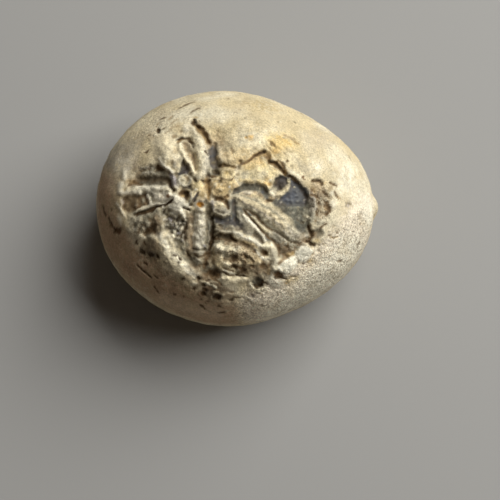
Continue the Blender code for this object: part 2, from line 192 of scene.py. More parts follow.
# broad rises and hollows under all the others: shape and lift alone
BROAD_FORMS = (
    (line(5.5, (-23, 6), (-22.5, 2), (-20, -3), (-14.5, -6.5), (-12, -9.5), (-8.5, -13), (-3, -16.5)), 1),
    (line(5, (6, -19.5), (13, -16.5), (19, -11.5)), 0.85),
    (spot(-13.2, 10.4, 2.8, 3.6), 0.8),
    (spot(8.6, 11.6, 4.4, 3.2), 0.35),
    (spot(1.8, -10, 7.6, 5), 0.7),
    (spot(8.8, -12.2, 4.8, 2.8, 25), 0.85),
    (spot(15.6, 1, 2.4, 5.5), 0.4),
    (spot(18.8, -0.6, 2.6, 4), 0.3),
    (spot(-3, 12.2, 2.6, 4, 12), -0.6),
    (line(1.7, (-2.6, 8.7, 0.6), (-0.6, 9.5), (1.6, 10.4), (3.6, 11.6), (5, 13, 0.7)), 0.35),
)

SKIN_TINTS = (
    # broad tints of the smooth skin round the star
    (spot(-0.5, 16.5, 9, 5, 10), TALLOW, 0.4),
    (spot(5, 20, 7, 2.6, -10), TALLOW),
    (line(2.6, (-12, 17.5), (-8, 18), (-3, 17.2)), PALE),
    (line(3, (-20.5, 10.5), (-19, 14.5), (-15, 18)), DULL_SAND, 0.7),
    (line(3, (-26.2, 4), (-25, 8), (-22.5, 10.5)), TAUPE, 0.8),
    (spot(-16, 13.8, 1.8, 1.4, 40), TAN, 0.6),
    # clay over the left and lower left flank: partly the stone's brown stain, partly painted warm light of
    # the shaded side
    (line(4.2, (-25.6, 5), (-26, -1), (-23.5, -7)), CLAY, 1.1),
    (line(6, (-25.5, -6), (-18, -13), (-10, -18.5), (-3, -21.5)), CLAY, 1.2),
    (line(2.2, (-14, -17.5), (-9, -19.5), (-4, -20.5)), TAN_CREAM, 0.8),
    (spot(16.5, 13.5, 6, 4, 35), DULL_SAND, 0.6),
    # pale sand over the lower right and white at the right end: the sandy skin's own colour brightened
    # further as painted light
    (line(7, (6, -19.5), (14, -15), (23, -7), (26, -2)), SAND, 2.4),
    (spot(26.5, -1.5, 3, 5), WHITE, 1.2),
)

FIELDS = (
    # around the right ray, with its ledge along the upper side
    (patch(1.1, (-0.2, 3), (0.4, 3.8), (1.5, 4.3), (3, 4.45), (4.6, 4.1), (5.8, 3.3), (6.9, 3.3), (7.2, 4.6),
           (7.5, 5.6), (8.8, 6.1), (10.2, 5.6), (11.4, 5), (12.4, 4.2), (13.3, 3.2), (14, 2), (14.3, 0.4),
           (14.2, -1.6), (13.7, -3), (13.8, -6.4), (12.2, -7.4), (11.4, -8.2), (10.2, -9), (8.8, -9.7),
           (8.1, -8.6), (7.5, -7.2), (6.4, -6.9), (5.2, -7.2), (4, -6.4), (2.6, -5.4), (1.2, -4.9), (0, -4.2),
           (-0.8, -3.3), (-4, -3.3), (-4.2, -1.6), (-2.4, -1.8), (-1.2, -1.2), (-0.9, 0.4), (-0.9, 2)),
     FLINT, 1.3, -0.65),
    # beside the upper ray
    (line(1.25, (-4.2, 12, 0.6), (-4.3, 10.2), (-4.1, 8.4), (-3.8, 6.6, 0.9)), FLINT, 1.2, -0.75),
    # around the left ray
    (patch(0.8, (-21.8, 1.8), (-20.9, 2.4), (-20.2, 4.8), (-18.4, 7.4), (-15.6, 8.2), (-14, 7.2),
           (-12.4, 6.2), (-10.8, 6.4), (-10.4, 8.2), (-9.9, 9), (-9.2, 7.8), (-8.6, 6), (-8.6, 4),
           (-8.6, 3.4), (-10.8, 3.4), (-11.8, 2.6), (-12, 1.4), (-13.4, 0.4), (-16, -0.8), (-19.6, -1.6),
           (-21.4, -1)), MOSS, 0.85, -0.6),
    # around the lower ray
    (patch(1, (-13.9, -0.5), (-12, -0.9), (-10.4, -1.9), (-9.4, -2.8), (-8.6, -1), (-7.8, -0.9), (-4.2, -1.4),
           (-3.9, -6), (-4.4, -9.4), (-3.8, -11.4), (-2.6, -12.4), (-4.4, -13.2), (-7, -12.4), (-8.6, -10.9),
           (-10, -9.2), (-11.2, -7.9), (-11.9, -6.6), (-13, -5.2), (-13.7, -3.9)), MOSS, 0.95, -0.55),
    # rough ground under the left ray
    (patch(1.4, (-20.9, -1.4), (-15.2, -0.9), (-13.4, -0.4), (-13.6, -2.4), (-14.6, -3.2), (-15, -5.2),
           (-17.2, -5.8), (-18.8, -4.8), (-20.4, -3.4)), MOSS, 0.85, -0.35),
)

GROUND = (
    # darker and paler grounds between the rays, laid before anything that stands on them
    (line(1.2, (-10.9, -5.4), (-10.4, -7.4), (-9.2, -9), (-8.2, -10.4)), OLIVE, 0.95, -0.1),
    (line(1.4, (-7.6, -10.2), (-6.2, -11.6), (-4, -12.4)), OLIVE, 1, -0.15),
    (line(1.5, (-8.4, -8.6), (-6.8, -9), (-5.2, -9)), UMBER, 0.5),
    (line(1, (-9.1, -1.6), (-9.2, -5), (-9, -8)), UMBER, 0.55),
    (spot(-12.4, -3.4, 1.8, 1.7), FLINT, 0.95),
    (line(0.6, (-13.6, -0.9), (-12.4, -1.7), (-10.8, -2.6)), OLIVE, 0.9, -0.15),
    (spot(-18.2, -2.2, 2, 1.2), ASH, 0.45),
    (spot(-15.6, -2.2, 1.6, 1.2), OLIVE, 0.45),
    (spot(-17, -4.6, 1.8, 1.1, -25), UMBER, 0.8, -0.1),
    (patch(1, (-18.9, 7.8), (-16.4, 8.2), (-14.4, 7.4), (-13, 6.5), (-13.6, 6.1), (-16, 6.1), (-18.4, 6.1)),
     MOSS, 0.9),
    (line(1.3, (-20.4, 4.8), (-18.8, 5), (-17.6, 5.2)), UMBER, 0.9, -0.1),
    (line(0.8, (-12.4, 6.4), (-11.9, 5.2), (-11.5, 3.8)), MAUVE, 1.1, 0.15),
    (spot(-11.6, 8.6, 1.3, 1.9, 20), UMBER, 0.55),
    (patch(1.2, (-0.2, -0.6), (1.4, -1), (2.4, -2.6), (3.6, -4.2), (4.6, -5.6), (3.4, -5.4), (2.2, -4.8),
           (0.4, -4.2), (-0.2, -2.8)), MOSS, 0.8),
    (patch(1.2, (2.6, -0.4), (5.4, -2), (8, -3.8), (10.6, -5), (13.4, -5), (12.2, -7.3), (10.2, -8.9),
           (8.8, -9.5), (8, -8.4), (7.2, -6.9), (5.6, -5), (3.8, -2.6)), DRAB, 0.85),
    (spot(9.8, -7.9, 2.2, 1.8), OLIVE, 0.6),
    (spot(12.4, -5.8, 1.7, 1.3), TAN, 0.7),
    (patch(1.4, (0, -8.6), (2.2, -8.2), (3.6, -8.6), (4.8, -9.9), (6.5, -9.9), (6.7, -12.2), (5.2, -13.2),
           (3.4, -12.6), (2.2, -11.9), (0.4, -12.2), (-0.9, -10.6), (-2.2, -9.8), (-4.2, -10.2), (-4, -9)),
     UMBER, 0.85),
    (spot(-1, -14.8, 4, 0.9), MOSS, 0.6),
    (patch(1.2, (13.8, 4.4), (15, 5.1), (16.4, 4.7), (17.4, 3.4), (17.9, 1.6), (17.9, -0.6), (17.2, -1.8),
           (15.6, -2.2), (14.6, -1.6), (14.6, 0.6), (14.3, 2.4)), UMBER, 0.75),
)

CENTRE_PLATES = (
    # the round plate at the top
    (spot(-1.7, 6, 1.75, 1.6), TAN, 0.9, 0.15),
    (spot(-1.7, 6.1, 1.75, 1.6), UMBER, 0.7),
    (plate(-1.7, 6.1, 1.15, 0.5), IVORY, 1.9, 0.32),
    (spot(-1.65, 6.05, 0.95, 0.9), OCHRE, 1.5, -0.18),
    (line(0.35, (-2.7, 5.8), (-2.6, 6.6), (-2.1, 7), (-1.2, 7.05)), PALE, 0.5, 0.12),
    # brown on the right side inside the plate: a shallow groove with painted shade
    (line(0.26, (-1.35, 6.45), (-1.05, 5.95), (-1.2, 5.35)), BROWN, 0.6, -0.15),
    (line(0.6, (-3.3, 7.75, 0.8), (-2.5, 7.8, 1.1), (-1.7, 7.65), (-1, 7.45, 0.7), (-0.2, 7.3, 0.6)),
     PITCH, 2.2, -0.5),
    (line(0.8, (-3, 7.6), (-1.6, 7.5), (-0.2, 7.2)), BROWN, 0.45),
    (spot(0.6, 8.45, 0.6, 0.42, -30), PITCH, 1.3, -0.47),
    (spot(0.3, 7.35, 0.6, 0.85), LILAC, 1.3, -0.3),
    (spot(0.3, 5.95, 0.55, 0.45), BROWN, 1, -0.25),
    (spot(-0.4, 8.9, 1.4, 0.8), CREAM, 0.6, 0.25),
    # the plate at the left
    (spot(-9.75, 5.05, 1.7, 1.65), IVORY, 1.8, 0.25),
    (plate(-9.75, 5.05, 1.15, 0.45), PALE, 0.8, 0.12),
    (line(0.45, (-10.7, 5.6), (-10.95, 4.9), (-10.5, 4.2), (-9.8, 3.95)), WHITE, 1.3, 0.12),
    (spot(-9.6, 5.05, 1.1, 1.05), IVORY, 1.5, -0.25),
    # fawn and umber in the upper right of the dish: a slight hollow with painted shade
    (spot(-9.35, 5.3, 0.65, 0.75), FAWN, 1, -0.05),
    (line(0.42, (-9.7, 5.9, 0.7), (-9.2, 5.5, 1.1), (-9.05, 4.9, 0.7)), UMBER, 1.3, -0.12),
    (line(0.3, (-8.75, 5.9), (-8.45, 5.2), (-8.75, 4.5)), ASH, 0.9, 0.1),
    # the deep brown pit below it and the bright ridge at its left
    (spot(-9.75, 2.35, 1.6, 1.5, -15), BROWN, 2.2, -0.95),
    (spot(-9.45, 2.3, 0.85, 0.95), PITCH, 1.6, -0.2),
    (spot(-10.3, 2, 0.65, 0.55), AMBER, 0.9),
    (line(0.35, (-10.1, 3.5, 0.7), (-9.2, 3.6), (-8.3, 3.2)), OLIVE, 0.9, -0.2),
    (line(1.35, (-12.6, 2.3, 0.5), (-11.9, 1.6), (-11, 0.8, 1.1), (-10, 0.2, 1.1), (-9.2, 0.2, 0.8)),
     WHITE, 2.2, 0.5),
    (spot(-8.7, 3.8, 0.45, 0.35), SLATE, 1, -0.15),
    (line(0.4, (-8.5, 2.6), (-8.25, 1.7), (-8.6, 0.9)), ASH, 1.1, 0.19),
    (line(0.36, (-9.9, -0.15), (-9.3, -0.35), (-8.8, -0.65)), PITCH, 1.5, -0.4),
    (spot(-8.5, 0.35, 0.55, 0.42), OLIVE, 1.3, -0.3),
    # the small plate with the orange eye
    (plate(-6.75, 0.4, 0.9, 0.42), ASH, 0.9, 0.2),
    (spot(-6.8, 0.45, 0.95, 0.85), EYE_ORANGE, 2.6, -0.3),
    (spot(-6.6, 0.4, 0.45, 0.42), RUST, 0.8),
    (line(0.42, (-7.5, 1.5), (-6.5, 1.45), (-5.6, 1.5), (-5, 0.9)), TAN, 0.9, 0.2),
    (line(0.42, (-7.2, 2.5), (-7.5, 1.9), (-7.9, 1.2)), SLATE, 1.4, -0.32),
    (line(0.7, (-5.8, 0.9, 0.7), (-5.5, 0), (-5.1, -1.2), (-4.8, -2.2, 0.8)), OLIVE, 1.3, -0.25),
    # the plate in the middle
    (plate(-2.55, 0.1, 1.55, 0.55), ASH, 1.1, 0.28),
    (spot(-2.9, 0.2, 1.5, 1.25), CREAM, 1.4, 0.18),
    # milk on the lower left inside the dish: painted light
    (spot(-3.2, 0, 0.9, 0.8), MILK, 0.9, 0.1),
    (line(0.36, (-4, -0.6, 0.6), (-3.2, -1), (-2.4, -1.25, 0.8)), OLIVE, 0.9, -0.15),
    (line(0.4, (-4.4, -0.7, 0.7), (-3.8, -1.4), (-2.6, -1.75), (-1.5, -1.6, 0.8)), PALE, 1.3, 0.2),
    # brown and pitch round the upper right inside the dish: a groove with painted shade
    (line(0.7, (-3.9, 1.3, 0.6), (-2.9, 1.4), (-2, 1.1), (-1.5, 0.4), (-1.5, -0.4, 0.7)), BROWN, 2.2, -0.4),
    (line(0.36, (-3.2, 1.4, 0.7), (-2.3, 1.2), (-1.7, 0.6), (-1.5, -0.1, 0.6)), PITCH, 1, -0.1),
    (spot(-2.1, -0.05, 0.45, 0.45), TAN, 0.8, -0.1),
    (line(0.3, (-1.2, 1.2), (-0.95, 0.2), (-1.1, -0.9)), ASH, 0.7, 0.12),
    (line(0.45, (-4.5, 0.9), (-4.35, 0), (-4.4, -0.5)), MAUVE, 1.1, 0.15),
    (line(0.7, (-0.7, 2.2), (-0.5, 1.2), (-0.4, 0.2), (-0.4, -0.9), (-0.3, -2.4)), SLATE, 1.2, -0.25),
    # the honey-coloured middle of the star
    (patch(0.8, (-4.7, 5.2), (-3.4, 5.7), (-1.9, 4.8), (-0.4, 4.8), (0.4, 4), (-0.2, 3.2), (-1.2, 2.2),
           (-2.4, 1.8), (-3.9, 1.9), (-4.9, 2.6)), HONEY, 1.6, 0.35),
    (line(0.55, (-4.4, 1.75), (-3.3, 1.6), (-2.3, 1.7), (-1.5, 2, 0.6)), BROWN, 1.1, -0.25),
    (spot(-6.1, 2.5, 1.2, 1.2), HONEY, 1.6, 0.35),
    (spot(-7.05, 4, 1.5, 1.4), STRAW, 2.2, 0.5),
    (spot(-7.5, 3.3, 0.5, 0.36), WHITE, 1.1, 0.1),
    (line(0.42, (-6.5, 4.95, 0.8), (-5.9, 4.75), (-5.4, 4.7), (-4.9, 5.1, 0.7)), PITCH, 1.5, -0.44),
    (line(0.75, (-5.3, 5.2), (-5.35, 4.2), (-5.4, 3.4), (-5.2, 2.2, 0.6), (-5.1, 1.3, 0.5)),
     TOFFEE, 1.6, -0.3),
    (line(0.45, (-5.6, 5.2), (-5.45, 4.4), (-5.4, 3.6), (-5.2, 2.4, 0.6)), BROWN, 1.2, -0.15),
    (spot(-5.4, 5.8, 0.6, 0.5), UMBER, 1.1, -0.2),
    (line(0.45, (-5.2, 6, 0.8), (-4.4, 5.8), (-3.6, 5.8, 0.7)), BROWN, 1, -0.2),
    (spot(-3.6, 5.3, 0.55, 0.4), CREAM, 0.9, 0.22),
    (spot(-3.9, 4, 0.6, 0.7), CREAM, 1, 0.28),
    (spot(-2.8, 3.2, 0.8, 0.5), BUTTER, 1, 0.25),
    # a small raised grain in white: a painted glint
    (spot(-1.25, 3.65, 0.42, 0.38), WHITE, 1.2, 0.2),
    (spot(-3.15, 4.7, 0.7, 0.6), OLIVE, 1, -0.3),
    (spot(-1.9, 4.35, 0.75, 0.36, -15), UMBER, 0.9, -0.1),
    (spot(-0.9, 2.9, 0.6, 0.5), MOSS, 0.9, -0.1),
    (line(0.3, (-4.6, 3.4), (-4, 2.9), (-3.3, 2.3)), UMBER, 0.9, -0.15),
    (line(0.45, (-4.3, 6.6), (-3.3, 6.4)), SLATE, 1.2, -0.2),
    (line(0.26, (-4.75, 7.4), (-4.75, 6.3)), ASH, 0.8, 0.12),
)

UPPER_RAY = (
    # broad rib: grey right flank, bright worn crest
    (line(1.4, (-8.3, 15, 0.8), (-7.4, 13.5), (-6.8, 11.6), (-6.4, 9.8), (-6, 8.4), (-6.2, 6.9),
          (-6.9, 5.7, 0.7)), PALE, 0.9, 0.74),
    (line(0.8, (-6.6, 13.4, 0.6), (-6, 12), (-5.6, 10.2), (-5.4, 8.4), (-5.5, 6.8)), ASH, 0.9),
    (line(1.05, (-9.6, 12.2, 0.8), (-9.1, 10.8), (-8.4, 9.4), (-7.9, 8.2, 0.7), (-7.6, 7.2, 0.5)),
     TAN, 1.3, -0.5),
    (spot(-8.3, 9.4, 0.6, 1, 20), UMBER, 0.8, -0.1),
    (line(0.42, (-9.5, 12.2), (-8.9, 11), (-8.2, 9.7)), MOSS, 0.6),
    (line(0.62, (-10.9, 12, 0.7), (-10.2, 10.4), (-9.4, 9), (-8.6, 7.5), (-7.8, 6.1), (-7.5, 5.3, 0.7)),
     PALE, 1, 0.34),
    (line(0.4, (-10.9, 11.9, 0.7), (-10.2, 10.4), (-9.45, 9), (-8.7, 7.6), (-8, 6.4), (-7.6, 5.5, 0.8)),
     MILK, 1.7),
    (line(0.85, (-9.9, 15.6, 0.7), (-8.9, 13.9, 0.9), (-8, 12.2, 0.9), (-7.4, 10.6), (-7.1, 9),
          (-6.9, 7.4, 1.1), (-7.1, 6.2)), MILK, 1.8, 0.12),
    (line(0.5, (-11.1, 12.2), (-10.5, 12.95, 1.1), (-10.1, 13.15, 0.6), (-9.5, 13.25, 1.1), (-8.9, 12.9),
          (-8.5, 12.2, 0.9), (-8.2, 11.2, 0.5)), PITCH, 1.2, -0.45),
    (spot(-9.7, 12.3, 0.6, 0.5), UMBER, 0.8, 0.2),
    # the trench over it
    (line(1.05, (-8.2, 16.4, 0.8), (-7.4, 15.2), (-6.4, 14.3), (-5.7, 13.2, 0.8), (-5.2, 12.2, 0.6)),
     UMBER, 0.95, -0.1),
    (line(0.5, (-8.1, 17, 0.7), (-8.35, 16.2, 1.1), (-7.9, 15.6, 1.1), (-7.4, 15.5)), PITCH, 1.8, -0.58),
    (line(0.75, (-7.4, 15.3), (-6.7, 14.9, 1.1), (-6.2, 14.2), (-5.8, 13.3, 0.6), (-5.3, 12.5, 0.5),
          (-4.9, 11.6, 0.5)), BROWN, 1.5, -0.62),
    (spot(-6.4, 14.2, 0.5, 0.4, -40), PITCH, 0.9, -0.2),
    (spot(-7.1, 16.6, 0.28, 0.36), BROWN, 1.3, -0.25),
    (spot(-7.55, 16.7, 0.34, 0.5), CREAM, 0.8, 0.19),
    (line(0.26, (-8.3, 17.5), (-7.6, 17.4)), HONEY, 0.9, -0.1),
    (spot(-6.9, 17.9, 0.55, 0.4), WHITE, 0.8, 0.2),
    (spot(-9.4, 15.4, 1.1, 1.6), WHITE, 0.7, 0.25),
    # the dark window beside the rib
    (line(1.1, (-5.1, 12.6, 0.6), (-4.7, 11.2, 0.9), (-4.4, 10), (-4.25, 8.8), (-4.2, 7.6, 0.8)),
     SLATE, 2.6, -0.2),
    (spot(-4, 6.7, 0.95, 0.9), OLIVE, 1.3, -0.25),
    (spot(-3.3, 8, 0.7, 0.8), PEAT, 0.8, -0.1),
    (line(0.34, (-5.95, 10.75, 0.9), (-5.6, 10.35, 1.1), (-5.45, 9.9, 0.7)), PITCH, 1.5, -0.35),
    (spot(-5.6, 11.5, 0.5, 0.6), TAN, 0.9, 0.08),
    # the pointed dark window at its left
    (patch(0.4, (-9.95, 9.1), (-10.45, 8.3), (-10.6, 7.4), (-10.9, 6.4), (-9.9, 6.3), (-9.1, 6.4), (-9, 7.3),
           (-9.4, 8.2)), FLINT, 1.2, -0.25),
    (spot(-9.3, 7.5, 0.6, 0.7), LILAC, 1, 0.05),
    (line(0.4, (-11, 6.2), (-10.2, 6.55), (-9.6, 7)), SLATE, 1.5, -0.2),
    (line(0.42, (-8.7, 6.3), (-8.2, 5.5), (-7.8, 5)), OLIVE, 0.7, -0.2),
    # the pale lobe at the far left
    (spot(-13.4, 11.4, 2.6, 3.2, 10), MILK, 1.5, 0.3),
    (spot(-13.6, 9.2, 1.7, 1.3), PALE, 1, 0.25),
    (spot(-11.5, 10.8, 0.9, 1.6, 15), FAWN, 1, -0.15),
    (spot(-11.6, 12.4, 1, 0.8), MILK, 0.8, 0.1),
    (spot(-11.7, 8, 0.7, 0.8), ASH, 0.7, 0.22),
    (spot(-12.3, 8.3, 0.4, 0.5), UMBER, 0.8, -0.15),
    (line(0.6, (-14.6, 9.2, 0.7), (-14.2, 8.3), (-13.2, 7.4), (-12.3, 6.7), (-11.9, 6.2, 0.7)),
     WHITE, 1.4, 0.3),
    (spot(-10.9, 7.4, 0.5, 0.7), MOSS, 0.9, 0.15),
    (spot(-11.8, 13.5, 1, 0.6, -20), TAN, 1, -0.15),
    (spot(-10.6, 14.5, 0.5, 0.6), TAN, 1.1, -0.2),
    (spot(-11.2, 15.6, 0.6, 0.5), TAN, 1, -0.15),
    # stained skin between this ray and the trench
    (spot(-3.6, 13.4, 1.9, 2.6), TAN, 0.85, -0.2),
    (spot(-2.6, 12.4, 1.4, 1), TAN, 0.6),
    (spot(-2.4, 10.2, 1.2, 1.6), HONEY, 0.6),
    (spot(-3.2, 16.6, 1.1, 0.45), WHITE, 0.7, 0.22),
    (line(0.34, (-0.9, 11.2), (-0.75, 10.6, 1.2), (-0.7, 10.1)), TAN, 1.3, -0.2),
    (spot(-1.7, 9.6, 1.4, 1.2), TAN, 0.6, 0.1),
)

LEFT_RAY = (
    (line(1, (-20.6, 3.3, 0.8), (-19.4, 3.4), (-17, 3.45), (-14.6, 3.6), (-12.7, 3.4)), PALE, 1, 0.55),
    (line(0.42, (-19, 3.9, 0.7), (-17, 3.9), (-15.4, 3.9), (-13.4, 4, 0.8)), WHITE, 1.4, 0.12),
    (line(0.45, (-22.6, 2.9, 0.8), (-21.6, 2.7), (-20.4, 2.75), (-19.2, 2.85), (-18.2, 2.7, 0.7)),
     WHITE, 1.5, 0.12),
    (spot(-18.2, 3.35, 0.9, 0.35), MAUVE, 0.7, -0.1),
    (spot(-16.4, 3.1, 0.8, 0.36), MAUVE, 0.6, -0.1),
    (spot(-15.5, 3.5, 1.2, 0.5), WHITE, 1, 0.08),
    (spot(-13.7, 3.3, 0.8, 0.45), PALE, 0.7, 0.08),
    (line(0.7, (-21.6, 6.9), (-21.4, 5.4)), WHITE, 0.9, 0.32),
    (line(0.75, (-22.2, 4.6), (-22.3, 3.6), (-22.1, 2.8)), WHITE, 1.2, 0.39),
    (spot(-20.7, 3.7, 0.9, 0.5), TAN, 1.1, -0.15),
    (spot(-20.4, 4.3, 0.75, 0.5, 20), PITCH, 2.2, -0.45),
    (line(0.6, (-20.4, 5, 0.7), (-19.4, 4.8), (-18.6, 4.5), (-18, 4.3, 0.6)), BROWN, 1.6, -0.35),
    (spot(-21.2, 3.5, 0.5, 0.4), AMBER, 1, -0.15),
    # the dark furrow above the ray
    (line(0.95, (-18.6, 5.4, 0.8), (-16.4, 5.35), (-14.8, 5.3), (-13.6, 5.4), (-12.8, 4.8, 0.7),
          (-12.4, 3.9, 0.6), (-11.9, 3.2, 0.5)), OLIVE, 1.5, -0.5),
    (line(0.8, (-18.4, 5.1, 0.7), (-16.6, 5), (-14.8, 5.1), (-13.6, 5.3), (-12.8, 4.7, 0.8),
          (-12.3, 3.8, 0.6)), PITCH, 1.6, -0.2),
    (spot(-15.6, 4.6, 0.6, 0.3), ASH, 0.5, 0.12),
    (spot(-11.9, 5.4, 0.5, 1.05, 15), MAUVE, 1, 0.2),
    (spot(-11.4, 3.7, 0.6, 0.75, 30), PALE, 0.8, 0.2),
    (patch(0.5, (-15.1, 8.3), (-14.3, 7.8), (-13.7, 7.1), (-14.3, 6.9), (-15.3, 7.1)), BROWN, 1.1, -0.35),
    (line(0.36, (-17.8, 6.7), (-16.4, 6.8), (-15.4, 6.5)), ASH, 1, 0.18),
    (line(0.34, (-18.2, 7.5), (-17, 7.7), (-16, 7.5)), ASH, 0.6, 0.15),
    # the recess under the ray
    (patch(0.6, (-21.7, 1.9), (-19.6, 2.2), (-17.2, 2.4), (-16.9, 1.6), (-16.5, 0.6), (-17.2, 0.2),
           (-18.4, -0.4), (-19.6, -0.9), (-20.9, -0.9), (-21.7, -0.4)), BROWN, 1.1, -0.5),
    (spot(-20.5, 0.9, 0.65, 0.9), RUST, 1.1, -0.08),
    (spot(-19.9, -0.3, 0.8, 0.6), RUST, 0.9),
    (spot(-21.5, -0.2, 0.5, 0.45), PITCH, 1, -0.15),
    (line(0.3, (-21.8, 1.5), (-21.6, 0.9)), MAUVE, 0.9, 0.1),
    (spot(-19, 1.2, 0.55, 0.55), TAN, 0.9, 0.2),
    (spot(-17.7, 1.2, 0.6, 1), MOSS, 1.2, 0.12),
    (spot(-18.9, 0.2, 0.6, 0.4, 20), UMBER, 0.9, 0.1),
    (line(0.42, (-22.9, 0.9, 0.7), (-22.6, 0.2), (-22.1, -0.4), (-21.7, -1, 0.7), (-21.3, -1.9, 0.7)),
     WHITE, 1.5, 0.18),
    (spot(-22.2, 0.55, 0.4, 0.3), BROWN, 1.2, -0.23),
    # the cross bar and the block at its right
    (line(0.48, (-17, 2.3, 0.7), (-16.5, 1.4), (-16, 0.7, 1.1), (-15.2, 0.45, 0.9), (-14, 0.6, 0.7),
          (-13.2, 0.9, 0.6)), WHITE, 1.5, 0.22),
    (patch(0.9, (-16.2, 2.8), (-13.2, 2.8), (-12.5, 2.2), (-12.9, 1.2), (-15.2, 1)), ASH, 1.2, 0.3),
    (line(0.3, (-15.4, 1.6), (-14.2, 1.5), (-13.2, 1.7)), ASH, 0.8, 0.12),
    (spot(-12.9, 2, 0.62, 0.55), RUST, 1.6, -0.05),
    (line(0.36, (-19.6, -0.9, 0.6), (-18.6, -0.5), (-17.4, 0), (-16.4, 0.2), (-15.8, 0.3, 0.6)),
     PALE, 1.2, 0.19),
    (line(0.72, (-19.6, -1.5, 0.5), (-18.2, -1.2, 0.9), (-17, -0.95, 1.1), (-16.2, -0.65), (-15.4, -0.2, 0.8),
          (-14.4, 0.1, 0.6), (-13.4, 0.4, 0.7), (-12.7, 0.75, 0.6), (-12, 1.15, 0.4)), PITCH, 2.2, -0.5),
    (line(0.2, (-13.85, 0.3), (-13.75, -0.6)), WHITE, 1.4, 0.1),
    (line(0.2, (-14.5, 0.9), (-14.5, 0.2)), PALE, 1.2, 0.09),
    (line(0.75, (-12.6, 0.3, 0.6), (-11.6, 0), (-10.6, -0.6, 1), (-9.9, -1.4, 0.8), (-9.6, -2.6, 0.5)),
     WHITE, 1.5, 0.3),
    (line(0.85, (-12.6, -0.3, 0.6), (-11.6, -0.7), (-10.6, -1.3), (-9.8, -2.2, 0.7)), WHITE, 1.5, 0.3),
    (spot(-11.9, -1.5, 1.3, 0.9, -25), ASH, 0.8, 0.3),
)

